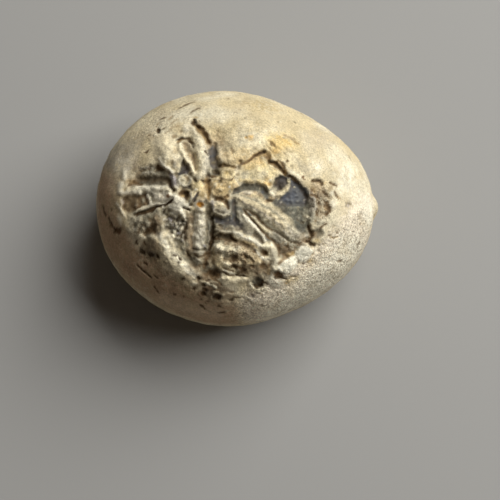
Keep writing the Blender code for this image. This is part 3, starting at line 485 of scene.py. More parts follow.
ROUGH_GROUND = (
    # grey-green ground under the left ray, with small bumps and black holes
    (spot(-15.6, -0.8, 0.5, 0.4), ASH, 0.9, 0.19),
    (line(0.3, (-14.8, -0.4), (-14.7, -1.3), (-14.3, -2)), ASH, 0.9, 0.14),
    (spot(-16.6, -1.3, 0.55, 0.36), ASH, 0.7, 0.17),
    (spot(-19.6, -1.6, 0.75, 0.45), PALE, 0.8, 0.2),
    (spot(-18.3, -2.4, 0.9, 0.6), ASH, 0.6, 0.15),
    (spot(-19.8, -2.9, 0.6, 0.6), PALE, 0.7, 0.15),
    (spot(-16, -2.5, 0.9, 0.6), OLIVE, 0.8, -0.2),
    (line(0.34, (-21.2, -3.4), (-20.4, -4.6)), PALE, 1, 0.14),
    (spot(-19.2, -4.2, 0.6, 0.42), WHITE, 0.9, 0.19),
    (spot(-18.4, -5.2, 0.45, 0.42), WHITE, 1, 0.19),
    (spot(-17.5, -5.9, 0.6, 0.35, -30), WHITE, 0.9, 0.19),
    (spot(-16.1, -5.7, 0.6, 0.4), PALE, 0.8, 0.19),
    (line(0.28, (-18, -4), (-17.3, -4.5), (-16.8, -4.95)), PALE, 1, 0.12),
    (line(1.1, (-15.7, -3.4, 0.8), (-16, -4.1, 1.1), (-16.6, -4.6), (-17.2, -4.9, 0.7)), BROWN, 2.2, -0.8),
    (line(0.55, (-15.9, -3.8, 0.8), (-16.3, -4.3, 1.2), (-16.8, -4.8)), PITCH, 1.4, -0.2),
    (spot(-15.4, -4.7, 0.5, 0.6), RUST, 1.3, -0.3),
    (spot(-17.15, -5.2, 0.55, 0.32, -25), PITCH, 1.5, -0.35),
    (spot(-18.85, -6.4, 0.55, 0.3, 20), PITCH, 1.4, -0.33),
    (line(0.26, (-17.5, -6.5), (-17, -7)), PITCH, 1.2, -0.3),
    (spot(-22.8, -4.5, 1.3, 0.9, 15), BROWN, 2.2, -0.45),
    (spot(-22.4, -4.9, 0.7, 0.5, 15), RUST, 1.2, -0.1),
    (spot(-22.2, -2.4, 0.8, 1.6, 15), WHITE, 0.7, 0.15),
    (line(0.3, (-25.9, 0.3), (-25.6, -0.6), (-25.3, -1.4)), BROWN, 1.2, -0.27),
    (line(0.32, (-24.7, -1.9), (-24.4, -2.6), (-24, -3.4), (-23.2, -4.3)), PITCH, 1.3, -0.38),
    (spot(-24, -0.4, 0.45, 0.35), BROWN, 1.1, -0.3),
    (spot(-23.1, -0.3, 0.35, 0.3), BROWN, 1, -0.25),
    # lumps between the left and the lower ray
    (spot(-13.6, -1.7, 0.6, 0.42, -20), ASH, 1.1, 0.22),
    (spot(-12.95, -1.35, 0.4, 0.3), PITCH, 0.8, -0.3),
    (line(0.45, (-12.9, -2.2), (-12, -2.5), (-11.2, -2.4)), PITCH, 1, -0.35),
    (spot(-11.6, -1.9, 0.7, 0.36, -15), ASH, 1, 0.22),
    (spot(-12.3, -3, 0.55, 0.42), MAUVE, 1.2, 0.22),
    (spot(-11.4, -3.1, 0.4, 0.34), ASH, 0.9, 0.19),
    (spot(-12.9, -3.4, 0.36, 0.4), ASH, 0.7, 0.2),
    (spot(-12.4, -4.1, 0.85, 0.42), OLIVE, 1.2, -0.35),
    (spot(-10.5, -4.2, 0.55, 0.48), ASH, 1.2, 0.24),
    (spot(-10.7, -3.2, 0.45, 0.36), ASH, 0.6, 0.2),
    (spot(-9.7, -4.5, 0.4, 0.4), MOSS, 0.7, 0.18),
    (spot(-11.3, -5, 0.5, 0.36), ASH, 0.7, 0.18),
    (line(0.42, (-9.6, -2.9, 0.8), (-9.9, -3.7), (-10.1, -4.9, 0.8), (-10.8, -5.6)), PITCH, 0.75, -0.35),
    (spot(-10, -5.6, 0.5, 0.4), ASH, 0.7, 0.2),
    (spot(-9.4, -6.6, 0.6, 0.34, -30), ASH, 0.6, 0.15),
    (line(0.26, (-10.3, -6.3), (-9.7, -6.9)), ASH, 0.7, 0.13),
    # a cluster of small round lumps with dark gaps
    (spot(-11.6, -3.2, 2.7, 2.9), FLINT, 1.1, 0.1),
    *((spot(*oval, -35), paint, 1.3, lift) for paint, lift, *oval in (
        (PALE, 0.24, -13.2, -0.9, 0.58, 0.46), (WHITE, 0.24, -12.2, -1.2, 0.53, 0.42),
        (ASH, 0.24, -11.1, -1.5, 0.58, 0.46), (WHITE, 0.24, -10.2, -2.2, 0.58, 0.46),
        (ASH, 0.2, -9.7, -3.1, 0.48, 0.38), (ASH, 0.24, -13.6, -2.3, 0.53, 0.42),
        (MAUVE, 0.24, -12.6, -2.3, 0.5, 0.4), (PALE, 0.24, -11.6, -2.5, 0.53, 0.42),
        (ASH, 0.24, -10.7, -3, 0.5, 0.4), (WHITE, 0.24, -13.1, -3.4, 0.58, 0.46),
        (MAUVE, 0.2, -12.1, -3.4, 0.48, 0.38), (ASH, 0.24, -11.2, -3.7, 0.53, 0.42),
        (PALE, 0.24, -10.1, -4, 0.53, 0.42), (ASH, 0.24, -12.6, -4.4, 0.5, 0.4),
        (PALE, 0.2, -11.7, -4.7, 0.48, 0.38), (MAUVE, 0.2, -10.7, -4.9, 0.48, 0.38),
        (ASH, 0.2, -9.7, -5.2, 0.48, 0.38), (PALE, 0.24, -12, -5.6, 0.5, 0.4),
        (ASH, 0.2, -11, -5.9, 0.46, 0.36), (MAUVE, 0.2, -10.1, -6.4, 0.44, 0.35),
        (ASH, 0.2, -11.3, -6.9, 0.46, 0.36), (ASH, 0.2, -10.2, -7.6, 0.42, 0.33),
    )),
    *((spot(*middle, 0.34, 0.24, -30), PITCH, 1.2, -0.25) for middle in (
        (-12.7, -1.75), (-11.7, -1.95), (-13.1, -2.85), (-12.1, -2.9), (-11.1, -3.1), (-10.5, -3.6),
        (-11.7, -4.1), (-10.9, -4.4), (-12.1, -5), (-11.2, -5.4), (-10.3, -5.7), (-9.9, -2.8),
    )),
    # the bright shoulder over the shaded flank
    (line(2.4, (-15.9, -6, 0.6), (-14.9, -7.8), (-13.7, -9.6), (-12.2, -11.2), (-10.6, -12.6),
          (-9.4, -14, 0.7)), CREAM, 0.5, 0.55),
    (line(1.5, (-14.2, -4.8, 0.4), (-13.8, -6.8, 0.7), (-12.8, -8.6), (-11.4, -10.2), (-10, -11.6),
          (-8.8, -12.9), (-8.2, -14, 0.7)), MILK, 1.2, 0.2),
    (spot(-14.1, -3.8, 0.6, 0.6), PALE, 0.9, 0.15),
    (spot(-12.6, -5.9, 1.2, 0.7, -45), ASH, 0.9, 0.1),
    (line(0.3, (-11.9, -9.1, 0.7), (-11.3, -9.05), (-10.9, -9.2), (-10.4, -9.8, 1.2)), BROWN, 1.4, -0.23),
    (spot(-10.8, -10.6, 0.5, 0.3, -30), BROWN, 1.2, -0.25),
    (spot(-7.75, -11.6, 0.4, 0.26), BROWN, 1.2, -0.2),
    (line(0.26, (-8.2, -12.9), (-7.3, -12.3)), BROWN, 1.2, -0.18),
    (spot(-10.1, -13.4, 0.5, 0.34, 15), PITCH, 1.4, -0.35),
    (line(0.4, (-9.2, -8.6, 0.7), (-8.9, -9.4, 1.1), (-8.5, -10.1, 0.7)), PITCH, 1.3, -0.45),
)

LOWER_RAY = (
    # grey right half, bright worn left half
    (line(1.25, (-6.5, -0.9, 0.8), (-6.55, -2.4), (-6.6, -4), (-6.7, -5.6, 1.1), (-6.8, -7.2, 1.1),
          (-6.9, -8.4, 0.9)), ASH, 1.2, 0.58),
    (line(1.1, (-6.8, -8.4), (-7, -9.6), (-7.1, -10.4, 0.8)), MOSS, 0.8, 0.35),
    (line(0.95, (-7.1, -1, 0.7), (-7.15, -2.6, 0.8), (-7.1, -4), (-7.4, -5.4, 1.1), (-7.5, -6.4, 0.9),
          (-7.4, -7.5, 1)), WHITE, 1.5, 0.1),
    (spot(-7.4, -5.6, 0.55, 0.8), WHITE, 1.6, 0.15),
    (spot(-7.3, -7.4, 0.55, 0.5), WHITE, 1.4, 0.12),
    (spot(-6.9, -3.2, 0.5, 0.9), PALE, 1, 0.05),
    (spot(-5.9, -6.2, 0.6, 0.6), DRAB, 0.9, 0.05),
    (spot(-6.3, -1.8, 0.8, 0.6), PALE, 0.8),
    (spot(-6.2, -3.4, 0.6, 0.7), ASH, 0.8, 0.12),
    (spot(-6, -5, 0.6, 0.6), ASH, 1, 0.18),
    (spot(-6, -7.3, 0.7, 0.45), MAUVE, 0.7, 0.08),
    (line(0.32, (-8.1, -7.9), (-7, -8.15), (-5.8, -8)), OLIVE, 1.1, -0.22),
    (line(0.26, (-7.9, -8.6), (-6.9, -8.75), (-6, -8.5)), ASH, 0.9, 0.12),
    (line(0.26, (-7.8, -9.2), (-6.8, -9.4), (-6, -9.3)), BROWN, 0.9, -0.18),
    (line(0.26, (-7.6, -9.8), (-6.7, -10)), ASH, 0.5, 0.1),
    (line(0.9, (-8.6, -1.6, 0.7), (-8.8, -4), (-8.9, -6.4), (-8.7, -7.8)), UMBER, 1, 0.05),
    (line(0.4, (-8.1, -1.6, 0.8), (-8.2, -4), (-8.3, -6.4), (-8.2, -7.8)), UMBER, 0.8, -0.12),
    (line(0.45, (-9.3, -2.2, 0.7), (-9.5, -4), (-9.7, -5.6), (-9.5, -7, 0.7)), PITCH, 1.1, -0.3),
    (spot(-8.4, -1.9, 0.5, 1), UMBER, 0.7, 0.05),
    # the trench at its right
    (line(0.8, (-4.7, -1.8, 0.7), (-4.6, -4.4), (-4.8, -7.4), (-5.1, -9.4)), BROWN, 0.75, -0.05),
    (line(0.52, (-4.45, -1.8, 0.6), (-4.5, -2.8), (-4.5, -4.4), (-4.6, -6), (-4.8, -7.2, 0.9),
          (-5, -8.2, 0.6)), PITCH, 1.6, -0.65),
    (line(0.5, (-5.5, -2.6, 0.6), (-5.4, -4.6), (-5.5, -5.8), (-5.6, -6.8)), OLIVE, 0.8, -0.15),
    (line(0.7, (-5.4, -8.8), (-5.7, -10.2), (-6, -11.4)), BROWN, 0.9, -0.3),
    (spot(-5.7, -10.9, 0.7, 0.55), PITCH, 1, -0.35),
    (spot(-6.9, -11, 0.8, 0.5, 20), BROWN, 0.9, -0.2),
    (line(0.24, (-5.3, -10.1), (-4.8, -11.2)), TAN, 0.9, 0.12),
    (spot(-4.6, -15.8, 2.8, 2.4), UMBER, 1.1, -0.2),
    (spot(-4.4, -12.8, 2.3, 1.5, -10), BROWN, 1.7, -0.5),
    (spot(-4, -12.5, 1.1, 0.6), PITCH, 0.6, -0.12),
    (spot(-4.4, -10.1, 0.9, 0.9), TAN, 0.9, -0.05),
    (line(0.95, (-4.2, -2.4, 0.8), (-2.8, -2.9), (-1.4, -3), (-0.2, -2.8)), SLATE, 2, -0.05),
    (spot(-3, -3.7, 0.9, 0.45), BROWN, 1, -0.2),
)

CRUSTY_MOUND = (
    # the crumbly head under the middle plate
    (spot(-2.4, -4.3, 2.2, 1.2), PEAT, 1.2, 0.1),
    (line(0.45, (-3.9, -4.4, 0.8), (-3.2, -4.6), (-2.2, -4.7), (-1.2, -4.9), (-0.4, -5.2)), PALE, 1.2, 0.22),
    (spot(-3.3, -4.1, 0.5, 0.42), TAN, 1, 0.15),
    (spot(-1.7, -4.2, 0.55, 0.36), UMBER, 0.9, 0.1),
    (spot(-3, -3.7, 0.8, 0.36), OLIVE, 1.3, -0.3),
    (line(0.4, (-1.7, -3.3), (-1, -3.7), (-0.4, -4.3)), MOSS, 0.9, 0.15),
    (line(0.85, (-0.4, -4.7, 0.7), (0.5, -5.3), (1.4, -5.8), (2.2, -5.8), (3, -6.2), (3.8, -6.7),
          (4.7, -7.4, 0.7)), PALE, 1.3, 0.41),
    (line(0.45, (-0.2, -4.8, 0.8), (0.8, -5.4), (1.8, -5.9), (2.9, -6.1), (4, -6.9), (4.8, -7.5)),
     WHITE, 1.4, 0.05),
    (line(0.5, (1.6, -6.6), (2.8, -7), (3.8, -7.6)), HONEY, 0.9, 0.1),
    (line(0.85, (-4.1, -5.8, 0.8), (-3, -5.8), (-1.9, -5.85), (-0.9, -6), (0, -6.5, 0.6)), BROWN, 2.4, -0.6),
    (line(0.5, (-3.4, -5.4, 0.8), (-2, -5.45), (-0.9, -5.7), (-0.1, -6.1, 0.6)), PITCH, 2, -0.15),
    (line(0.5, (-3.9, -6.5), (-2.6, -6.7), (-1.4, -6.7)), OLIVE, 1.3, -0.15),
    # its lumps, lit tops over brown hollows
    (spot(-2.6, -8.1, 2.5, 1.5, -5), PALE, 1.5, 0.6),
    (spot(-2.7, -7.9, 1.2, 0.7, -5), MILK, 1, 0.1),
    (spot(-3.9, -7.3, 0.8, 0.7), WHITE, 1, 0.15),
    (spot(0.2, -7.9, 1.8, 1.2, -10), PALE, 1.2, 0.4),
    (spot(2.8, -9.2, 2.4, 1.4, -40), TAN, 0.9, 0.35),
    (line(0.8, (0.4, -6.7, 0.7), (1.6, -7.4), (2.8, -7.9), (3.8, -8.5, 0.6)), UMBER, 1.1, -0.4),
    (spot(-1.2, -9.7, 1.9, 0.9, 10), BROWN, 1, -0.45),
    (spot(0.1, -9.4, 0.7, 0.7), BROWN, 0.9, -0.2),
    (spot(-3.2, -9.7, 1.2, 0.9), FAWN, 0.9, 0.15),
    (spot(0.4, -10.6, 1.1, 0.6), FAWN, 0.9, 0.3),
    (spot(-1.9, -10.8, 1.4, 0.9, -15), MILK, 1.4, 0.4),
    (spot(2.2, -11, 1.3, 0.7, -15), FAWN, 0.9, 0.28),
    (line(0.6, (-0.5, -11.2), (0.4, -11.3), (1.6, -11.9, 0.8)), BROWN, 1.3, -0.35),
    (spot(1.6, -12.2, 1.9, 0.7), BROWN, 0.9, -0.3),
    (line(0.34, (1.4, -8.9), (2.4, -9.6), (3.1, -10.4)), BROWN, 0.7, -0.18),
    (spot(4.1, -10.4, 1.1, 1.2), FAWN, 0.7, 0.2),
    (line(0.28, (-2.5, -11.5), (-1.6, -12), (-0.6, -12.2)), BROWN, 1.3, -0.18),
    (line(0.28, (-2.4, -12.4), (-1.5, -12.9), (-0.4, -13)), BROWN, 1.3, -0.18),
    (line(0.32, (-2.4, -12), (-1.2, -12.5), (-0.2, -12.65)), WHITE, 0.7, 0.1),
    (line(0.8, (-2.6, -13.5, 0.6), (-1.6, -13.7), (-0.2, -13.8), (0.8, -13.6), (2.2, -13.7, 0.7)),
     MILK, 1.3, 0.3),
    (line(0.34, (0.1, -12.8), (1, -13), (1.9, -12.95)), PITCH, 1.4, -0.35),
    (spot(0.9, -12.4, 1.2, 0.45), BROWN, 1, -0.2),
    (spot(4.9, -10.9, 0.85, 0.7), BROWN, 0.8, -0.3),
    (spot(5.7, -11.6, 0.75, 0.8), UMBER, 1, -0.2),
    (spot(4.2, -11.6, 0.6, 0.5), TAN, 0.6, 0.15),
    # the deep hole behind its right shoulder, with a bright lip
    (spot(5.35, -8.75, 1.1, 0.6, -42), PITCH, 1.6, -0.6),
    (line(0.4, (3.4, -8), (4, -8.7), (4.7, -9.4), (5.2, -9.8)), WHITE, 1.4, 0.22),
    (line(0.36, (5.3, -10), (6.1, -9.7)), ASH, 0.8, 0.15),
    # the crusted rim at the right
    (line(0.95, (4.9, -7.7, 0.6), (5.6, -7.3), (6.4, -7.2), (6.9, -7.8), (7.1, -8.7), (7.3, -9.6),
          (7.5, -10.5), (7.4, -11.3), (7.1, -12, 0.7)), PALE, 1.5, 0.45),
    (line(0.55, (5.2, -7.3, 0.7), (6, -6.9), (6.8, -7.4), (7.2, -8.4), (7.5, -9.6), (7.7, -10.6)),
     MILK, 1.3, 0.05),
    (spot(6.2, -7.6, 0.7, 0.6), PALE, 0.9),
    (line(0.36, (7.9, -7.2), (8, -8.2, 1.2), (8.1, -9.2)), BROWN, 1.1, -0.27),
    (spot(6.3, -10.8, 0.6, 1.1), UMBER, 1.2, -0.25),
    (spot(6.2, -12.5, 0.6, 0.6), TAN, 0.9, -0.15),
    (line(0.5, (6.8, -12.5), (6.7, -13.2), (6.4, -13.9), (6.2, -14.4, 0.6)), WHITE, 1.4, 0.25),
    (line(0.6, (7, -12.3, 0.8), (7.6, -12.6, 1.1), (8.3, -12.9)), BROWN, 1.6, -0.45),
    (line(0.46, (7.5, -13.2), (8.1, -13.3, 1.1), (8.9, -13.4, 0.8), (9.7, -13.7, 0.6)), PITCH, 1.8, -0.5),
    (line(0.28, (10.1, -13.2), (10.9, -13), (11.4, -13, 0.6)), BROWN, 1.1, -0.22),
    (spot(9.9, -14, 0.8, 0.4), HONEY, 1, 0.15),
    (spot(9.4, -14.3, 0.3, 0.24), ORANGE, 0.8),
    (spot(7.6, -14.5, 1.6, 0.95, 8), WHITE, 1.2, 0.35),
    (spot(8, -13.9, 0.7, 0.26), LILAC, 0.6),
    # the round hole at the foot
    (plate(4, -14.2, 1.3, 0.5), CREAM, 0.7, 0.2),
    (spot(4, -13.2, 0.95, 0.8), UMBER, 1.1, -0.15),
    (spot(4.1, -14.3, 1.55, 1.4), PEAT, 2.6, -0.9),
    (spot(4.3, -14.7, 0.8, 0.62, 20), PITCH, 2, -0.2),
    (spot(3.6, -14, 0.5, 0.45), MOSS, 1.2, 0.1),
    (spot(3.7, -12.7, 0.5, 0.36), PITCH, 0.9, -0.3),
    (line(0.45, (2.6, -13.4), (2.5, -14.4), (3, -15.4)), PALE, 0.9, 0.15),
    (line(0.42, (4.1, -16), (4.9, -15.7), (5.6, -15.4)), PALE, 1.1, 0.23),
    (spot(4.6, -16.4, 0.5, 0.32), HONEY, 0.8, 0.18),
    (line(0.3, (5.2, -14.2), (6, -14.4)), BROWN, 1.1, -0.23),
    (line(0.26, (2.8, -15.6), (3.4, -15.7), (4.1, -15.6)), CREAM, 0.8, 0.14),
    (spot(3.1, -16.7, 0.55, 0.75, 20), LILAC, 0.9, -0.2),
    (line(0.26, (1.4, -16.7), (2.2, -17.2), (2.9, -17.8), (3.5, -18.5)), ASH, 0.9, 0.14),
    (line(0.22, (4.8, -18.6), (5.8, -18.8)), BROWN, 1, -0.18),
)

RIGHT_RAY = (
    # the big rib: cream upper flank, bright worn crest along its lower side
    (patch(2, (-0.6, 2), (0.6, 2.9), (2.2, 2.7), (3.8, 2), (5.2, 1.2), (6.8, 0.2), (8.2, -0.8), (9.6, -2),
           (10.8, -3.2), (10.8, -4.4), (9.8, -5), (8.4, -4.3), (6.8, -3.2), (5.2, -2.1), (3.6, -1), (2, 0),
           (0.6, 0.6)), CREAM, 1.1, 0.42),
    (line(1.6, (0.4, 1.7, 0.7), (2.4, 1), (4.4, 0), (6.2, -1.2), (7.8, -2.3), (9.2, -3.4, 0.8)),
     PALE, 0.7, 0.15),
    (line(0.75, (5.6, 0.6, 0.6), (7.2, -0.3), (8.6, -1.3), (10.2, -2.5, 0.8)), ASH, 0.6),
    (patch(0.8, (0.4, 2.1), (1.4, 3.1), (3.4, 3.1), (5, 2.4), (5.2, 1.4), (3.4, 1.7)), TAN, 0.85, 0.05),
    (spot(2.1, 2.7, 1.6, 0.7), ASH, 0.7, 0.15),
    (line(1.35, (-0.6, 2, 0.7), (1, 1.4, 0.8), (2.8, 0.5), (4.4, -0.4), (6, -1.5), (7.6, -2.7),
          (9, -3.6, 0.8)), PALE, 1.3, 0.1),
    (line(0.55, (-0.6, 1.9, 0.8), (1, 1.2), (2.6, 0.4), (4.2, -0.5), (5.8, -1.6), (7.4, -2.7),
          (8.8, -3.6, 0.7)), MILK),
    (line(0.4, (1.6, 2), (3.6, 1), (5.4, 0), (7.2, -1.2), (8.8, -2.4)), DRAB, 0.55, -0.05),
    (line(0.4, (3, 2.3), (4.8, 1.4), (6.6, 0.3), (8.4, -0.9), (10, -2.2)), IVORY, 0.8, 0.05),
    (line(0.4, (1.6, 0), (3.2, -0.9), (4.8, -2.1), (6.2, -3.2), (7.6, -4.2)), DRAB, 0.8, -0.05),
    (line(0.6, (9.2, -3.4), (10.2, -4.4), (11, -5.4, 0.7)), ASH, 0.9),
    # ribs and furrows below it
    (line(0.34, (2, -0.3, 0.7), (3.1, -1.1), (4.2, -2.2, 1.1), (5.1, -3.1), (6.1, -3.9), (7.1, -4.6, 0.6)),
     BROWN, 1.5, -0.25),
    (line(0.46, (2.9, -1.9, 0.7), (3.9, -2.9), (4.9, -3.9), (6, -4.7), (6.8, -5.2, 0.7)), CREAM, 1.5, 0.2),
    (line(0.32, (1.3, -0.3, 0.6), (2.2, -1.5, 1.1), (3, -2.5), (4, -3.7), (5, -4.7), (6, -5.7, 0.7)),
     BROWN, 1.5, -0.22),
    (line(0.46, (1.5, -1.4, 0.6), (2.2, -2.5), (3.1, -3.5), (4.2, -4.6), (5.1, -5.5, 0.9), (5.5, -6.4, 0.7)),
     WHITE, 1.5, 0.25),
    (patch(0.5, (3.2, -4.2), (4, -5.1), (4.9, -6.1), (5.5, -6.8), (5, -7.1), (4.1, -6.6), (3.4, -5.6)),
     OLIVE, 1, -0.22),
    (spot(4.6, -6.5, 0.6, 0.45), SLATE, 0.8),
    (spot(1, -4.3, 0.9, 0.42, -25), SLATE, 1, -0.15),
    (spot(0.9, -2.6, 0.8, 1), ASH, 0.45, 0.12),
    (line(0.3, (0.5, -0.8), (0.8, -1.8), (0.7, -3)), ASH, 0.5, 0.12),
    (line(0.44, (6.2, -5.1), (7, -5.8), (7.9, -6.6), (8.6, -7.2, 0.6)), ASH, 1.2, 0.22),
    (line(0.42, (6, -5.9, 0.6), (6.9, -6.5), (7.5, -7.2), (7.9, -8, 1.1)), BROWN, 1.4, -0.31),
    (line(0.42, (7, -4.8), (8.2, -5.5), (9.4, -6.5)), ASH, 1, 0.22),
    (line(0.36, (7.2, -4.5), (8.2, -5.1), (9.3, -5.9), (10.2, -6.6)), OLIVE, 1.3, -0.29),
    (line(0.34, (8.9, -4.6), (9.9, -5.4), (10.9, -6.1)), ASH, 1, 0.2),
    (line(0.32, (6.4, -5.4), (7.3, -6.2), (8.3, -7)), OLIVE, 0.8, -0.22),
    # granular ground at its end
    (spot(10, -8.9, 0.6, 0.36), HONEY, 0.9, 0.2),
    (spot(9.9, -8.1, 0.26, 0.7), RUST, 0.8, -0.1),
    (spot(12, -5.6, 1.3, 0.9, -25), ASH, 0.6, 0.15),
    (line(0.42, (12.2, -6.5), (12.9, -6.9), (13.4, -7.3)), WHITE, 1.1, 0.21),
    (spot(11.9, -6.9, 0.7, 0.5), UMBER, 0.9, -0.15),
    (spot(8.8, -8.9, 0.55, 0.5), BROWN, 1, -0.3),
    (spot(9.4, -7.6, 0.5, 0.4), BROWN, 0.8, -0.2),
    (spot(9.2, -6.9, 0.36, 0.34), ASH, 0.9, 0.19),
    (spot(10.7, -7.9, 0.36, 0.3), ASH, 0.8, 0.17),
    (spot(11.2, -8.5, 0.36, 0.3), ASH, 0.7, 0.17),
    (spot(10.4, -7.1, 0.4, 0.34), ASH, 0.7, 0.17),
    # the dark hollow over its near end
    (patch(0.5, (-0.4, 2.4), (0, 3.3), (0.8, 3.9), (1.8, 4.25), (3, 4.3), (4.4, 4), (5.4, 3.4), (5.9, 2.6),
           (5.2, 2.1), (4.6, 2.9), (3.4, 3.2), (1.6, 3.2), (0.5, 2.6)), PEAT, 2.5, -0.08),
    (spot(5.1, 2.7, 0.7, 0.55), SLATE, 0.8, -0.05),
    (spot(0.1, 3, 0.6, 0.6), SLATE, 0.8, -0.05),
    (spot(6, 1, 1.1, 0.55, 5), OLIVE, 1.3, -0.25),
    (line(0.3, (5.2, 0.8), (5.8, 1.2, 1.2), (6.6, 1)), BROWN, 1.3, -0.2),
    (spot(7, 1.6, 0.7, 0.55), TAN, 1.2, 0.2),
    (line(0.6, (5.9, 3.8, 0.6), (6.3, 3.1), (6.6, 2.4), (7.1, 2, 0.8)), PALE, 1.2, 0.3),
)

DARK_WINDOW = (
    (patch(0.6, (7.45, 4.4), (7.6, 5.2), (8.2, 5.7), (9.2, 5.9), (9.6, 5.3), (9.6, 4.2), (9.1, 3.5),
           (8.3, 3.1), (7.7, 3.5)), SLATE, 3, -0.25),
    (spot(7.5, 4.6, 0.6, 0.7), OLIVE, 0.9),
    (spot(7.3, 3.4, 0.8, 0.5), MOSS, 0.9, 0.05),
    (spot(8.6, 3.4, 0.6, 0.35), OLIVE, 0.7, -0.05),
    (patch(0.7, (7.8, 0.6), (8.4, 1.5), (9.4, 2.2), (10.2, 3), (10.4, 4.2), (10.4, 5.3), (11.2, 4.9),
           (12.2, 4.1), (13, 3.1), (13.7, 2), (13.9, 0.9), (13, 0.1), (11.8, 0.2), (10.6, -0.1), (9, 0)),
     SLATE, 3, -0.3),
    (spot(10.2, 1.8, 2.4, 1.5, 20), BLUE_FLINT, 1.3),
    (spot(12.6, 2, 0.7, 1.1), SLATE, 0.9, -0.05),
    (spot(11.1, 4.3, 0.8, 0.8), BLUE_FLINT, 0.6),
    (spot(8.9, 3.9, 0.9, 0.8), FLINT, 1, 0.2),
    (line(0.75, (9.9, 4, 0.7), (9.2, 3.3, 1), (8.4, 2.7, 1.1), (7.6, 2.3, 1)), CREAM, 1.6, 0.34),
    (line(0.34, (9.8, 3.7, 0.8), (9, 3, 1.2), (8.3, 2.6, 0.7)), IVORY, 1.3),
    (spot(10, 4.75, 0.42, 0.7), IVORY, 1.5, 0.22),
    (spot(10.1, 5, 0.26, 0.22), OLIVE, 1.2, -0.12),
    (spot(9.85, 4.45, 0.22, 0.22), OLIVE, 1.2, -0.1),
    (spot(9.3, 3.6, 0.36, 0.26, 40), UMBER, 0.8, -0.08),
    # pale and mauve specks on the dark flint: painted glints
    (spot(11.1, 3.65, 0.34, 0.3), PALE, 1.6, 0.08),
    (spot(8.4, 0.6, 0.3, 0.26), MAUVE, 1.2, 0.08),
    (spot(13.3, 1.4, 0.34, 0.3), MAUVE, 1.1, 0.1),
    (spot(12.9, 0.9, 0.3, 0.24), MAUVE, 0.9, 0.08),
    (line(1.3, (14.3, 2.4, 0.6), (14.6, 1.2), (14.4, -0.6), (14, -2.4, 0.8)), DRAB, 1, 0.25),
    (line(0.45, (14.2, 3, 0.7), (14.6, 2.2), (14.8, 0.8), (14.9, -0.4, 0.7)), MAUVE, 1, 0.1),
    # it fades into rough grey-green ground
    (patch(1.6, (8.2, 0), (10.4, -0.1), (12.6, 0.2), (14.2, 0.4), (14.6, -0.8), (14.2, -2.6), (13.4, -4.2),
           (11.8, -3.9), (10.4, -2.7), (9, -1.4)), GREEN_FLINT, 1.1),
    (spot(12.9, -0.1, 0.34, 0.26), PITCH, 0.9, -0.2),
    (spot(10.6, -1.2, 0.8, 0.5, -25), ASH, 0.35, 0.1),
    (spot(11.6, -2.2, 0.8, 0.5, -15), ASH, 0.3, 0.1),
    (spot(12.4, -1.1, 0.9, 0.5), MOSS, 0.6, 0.05),
    (spot(13.4, -2, 0.45, 0.4), PALE, 1.1, 0.17),
    (spot(14, -2.3, 0.45, 0.34), PALE, 1, 0.17),
    (spot(14.3, -3.2, 0.7, 0.42), CREAM, 1, 0.19),
    (spot(12.4, -3, 0.6, 0.5), OLIVE, 0.8, -0.15),
    (spot(13.4, -4.4, 0.8, 0.8), MOSS, 0.9),
)

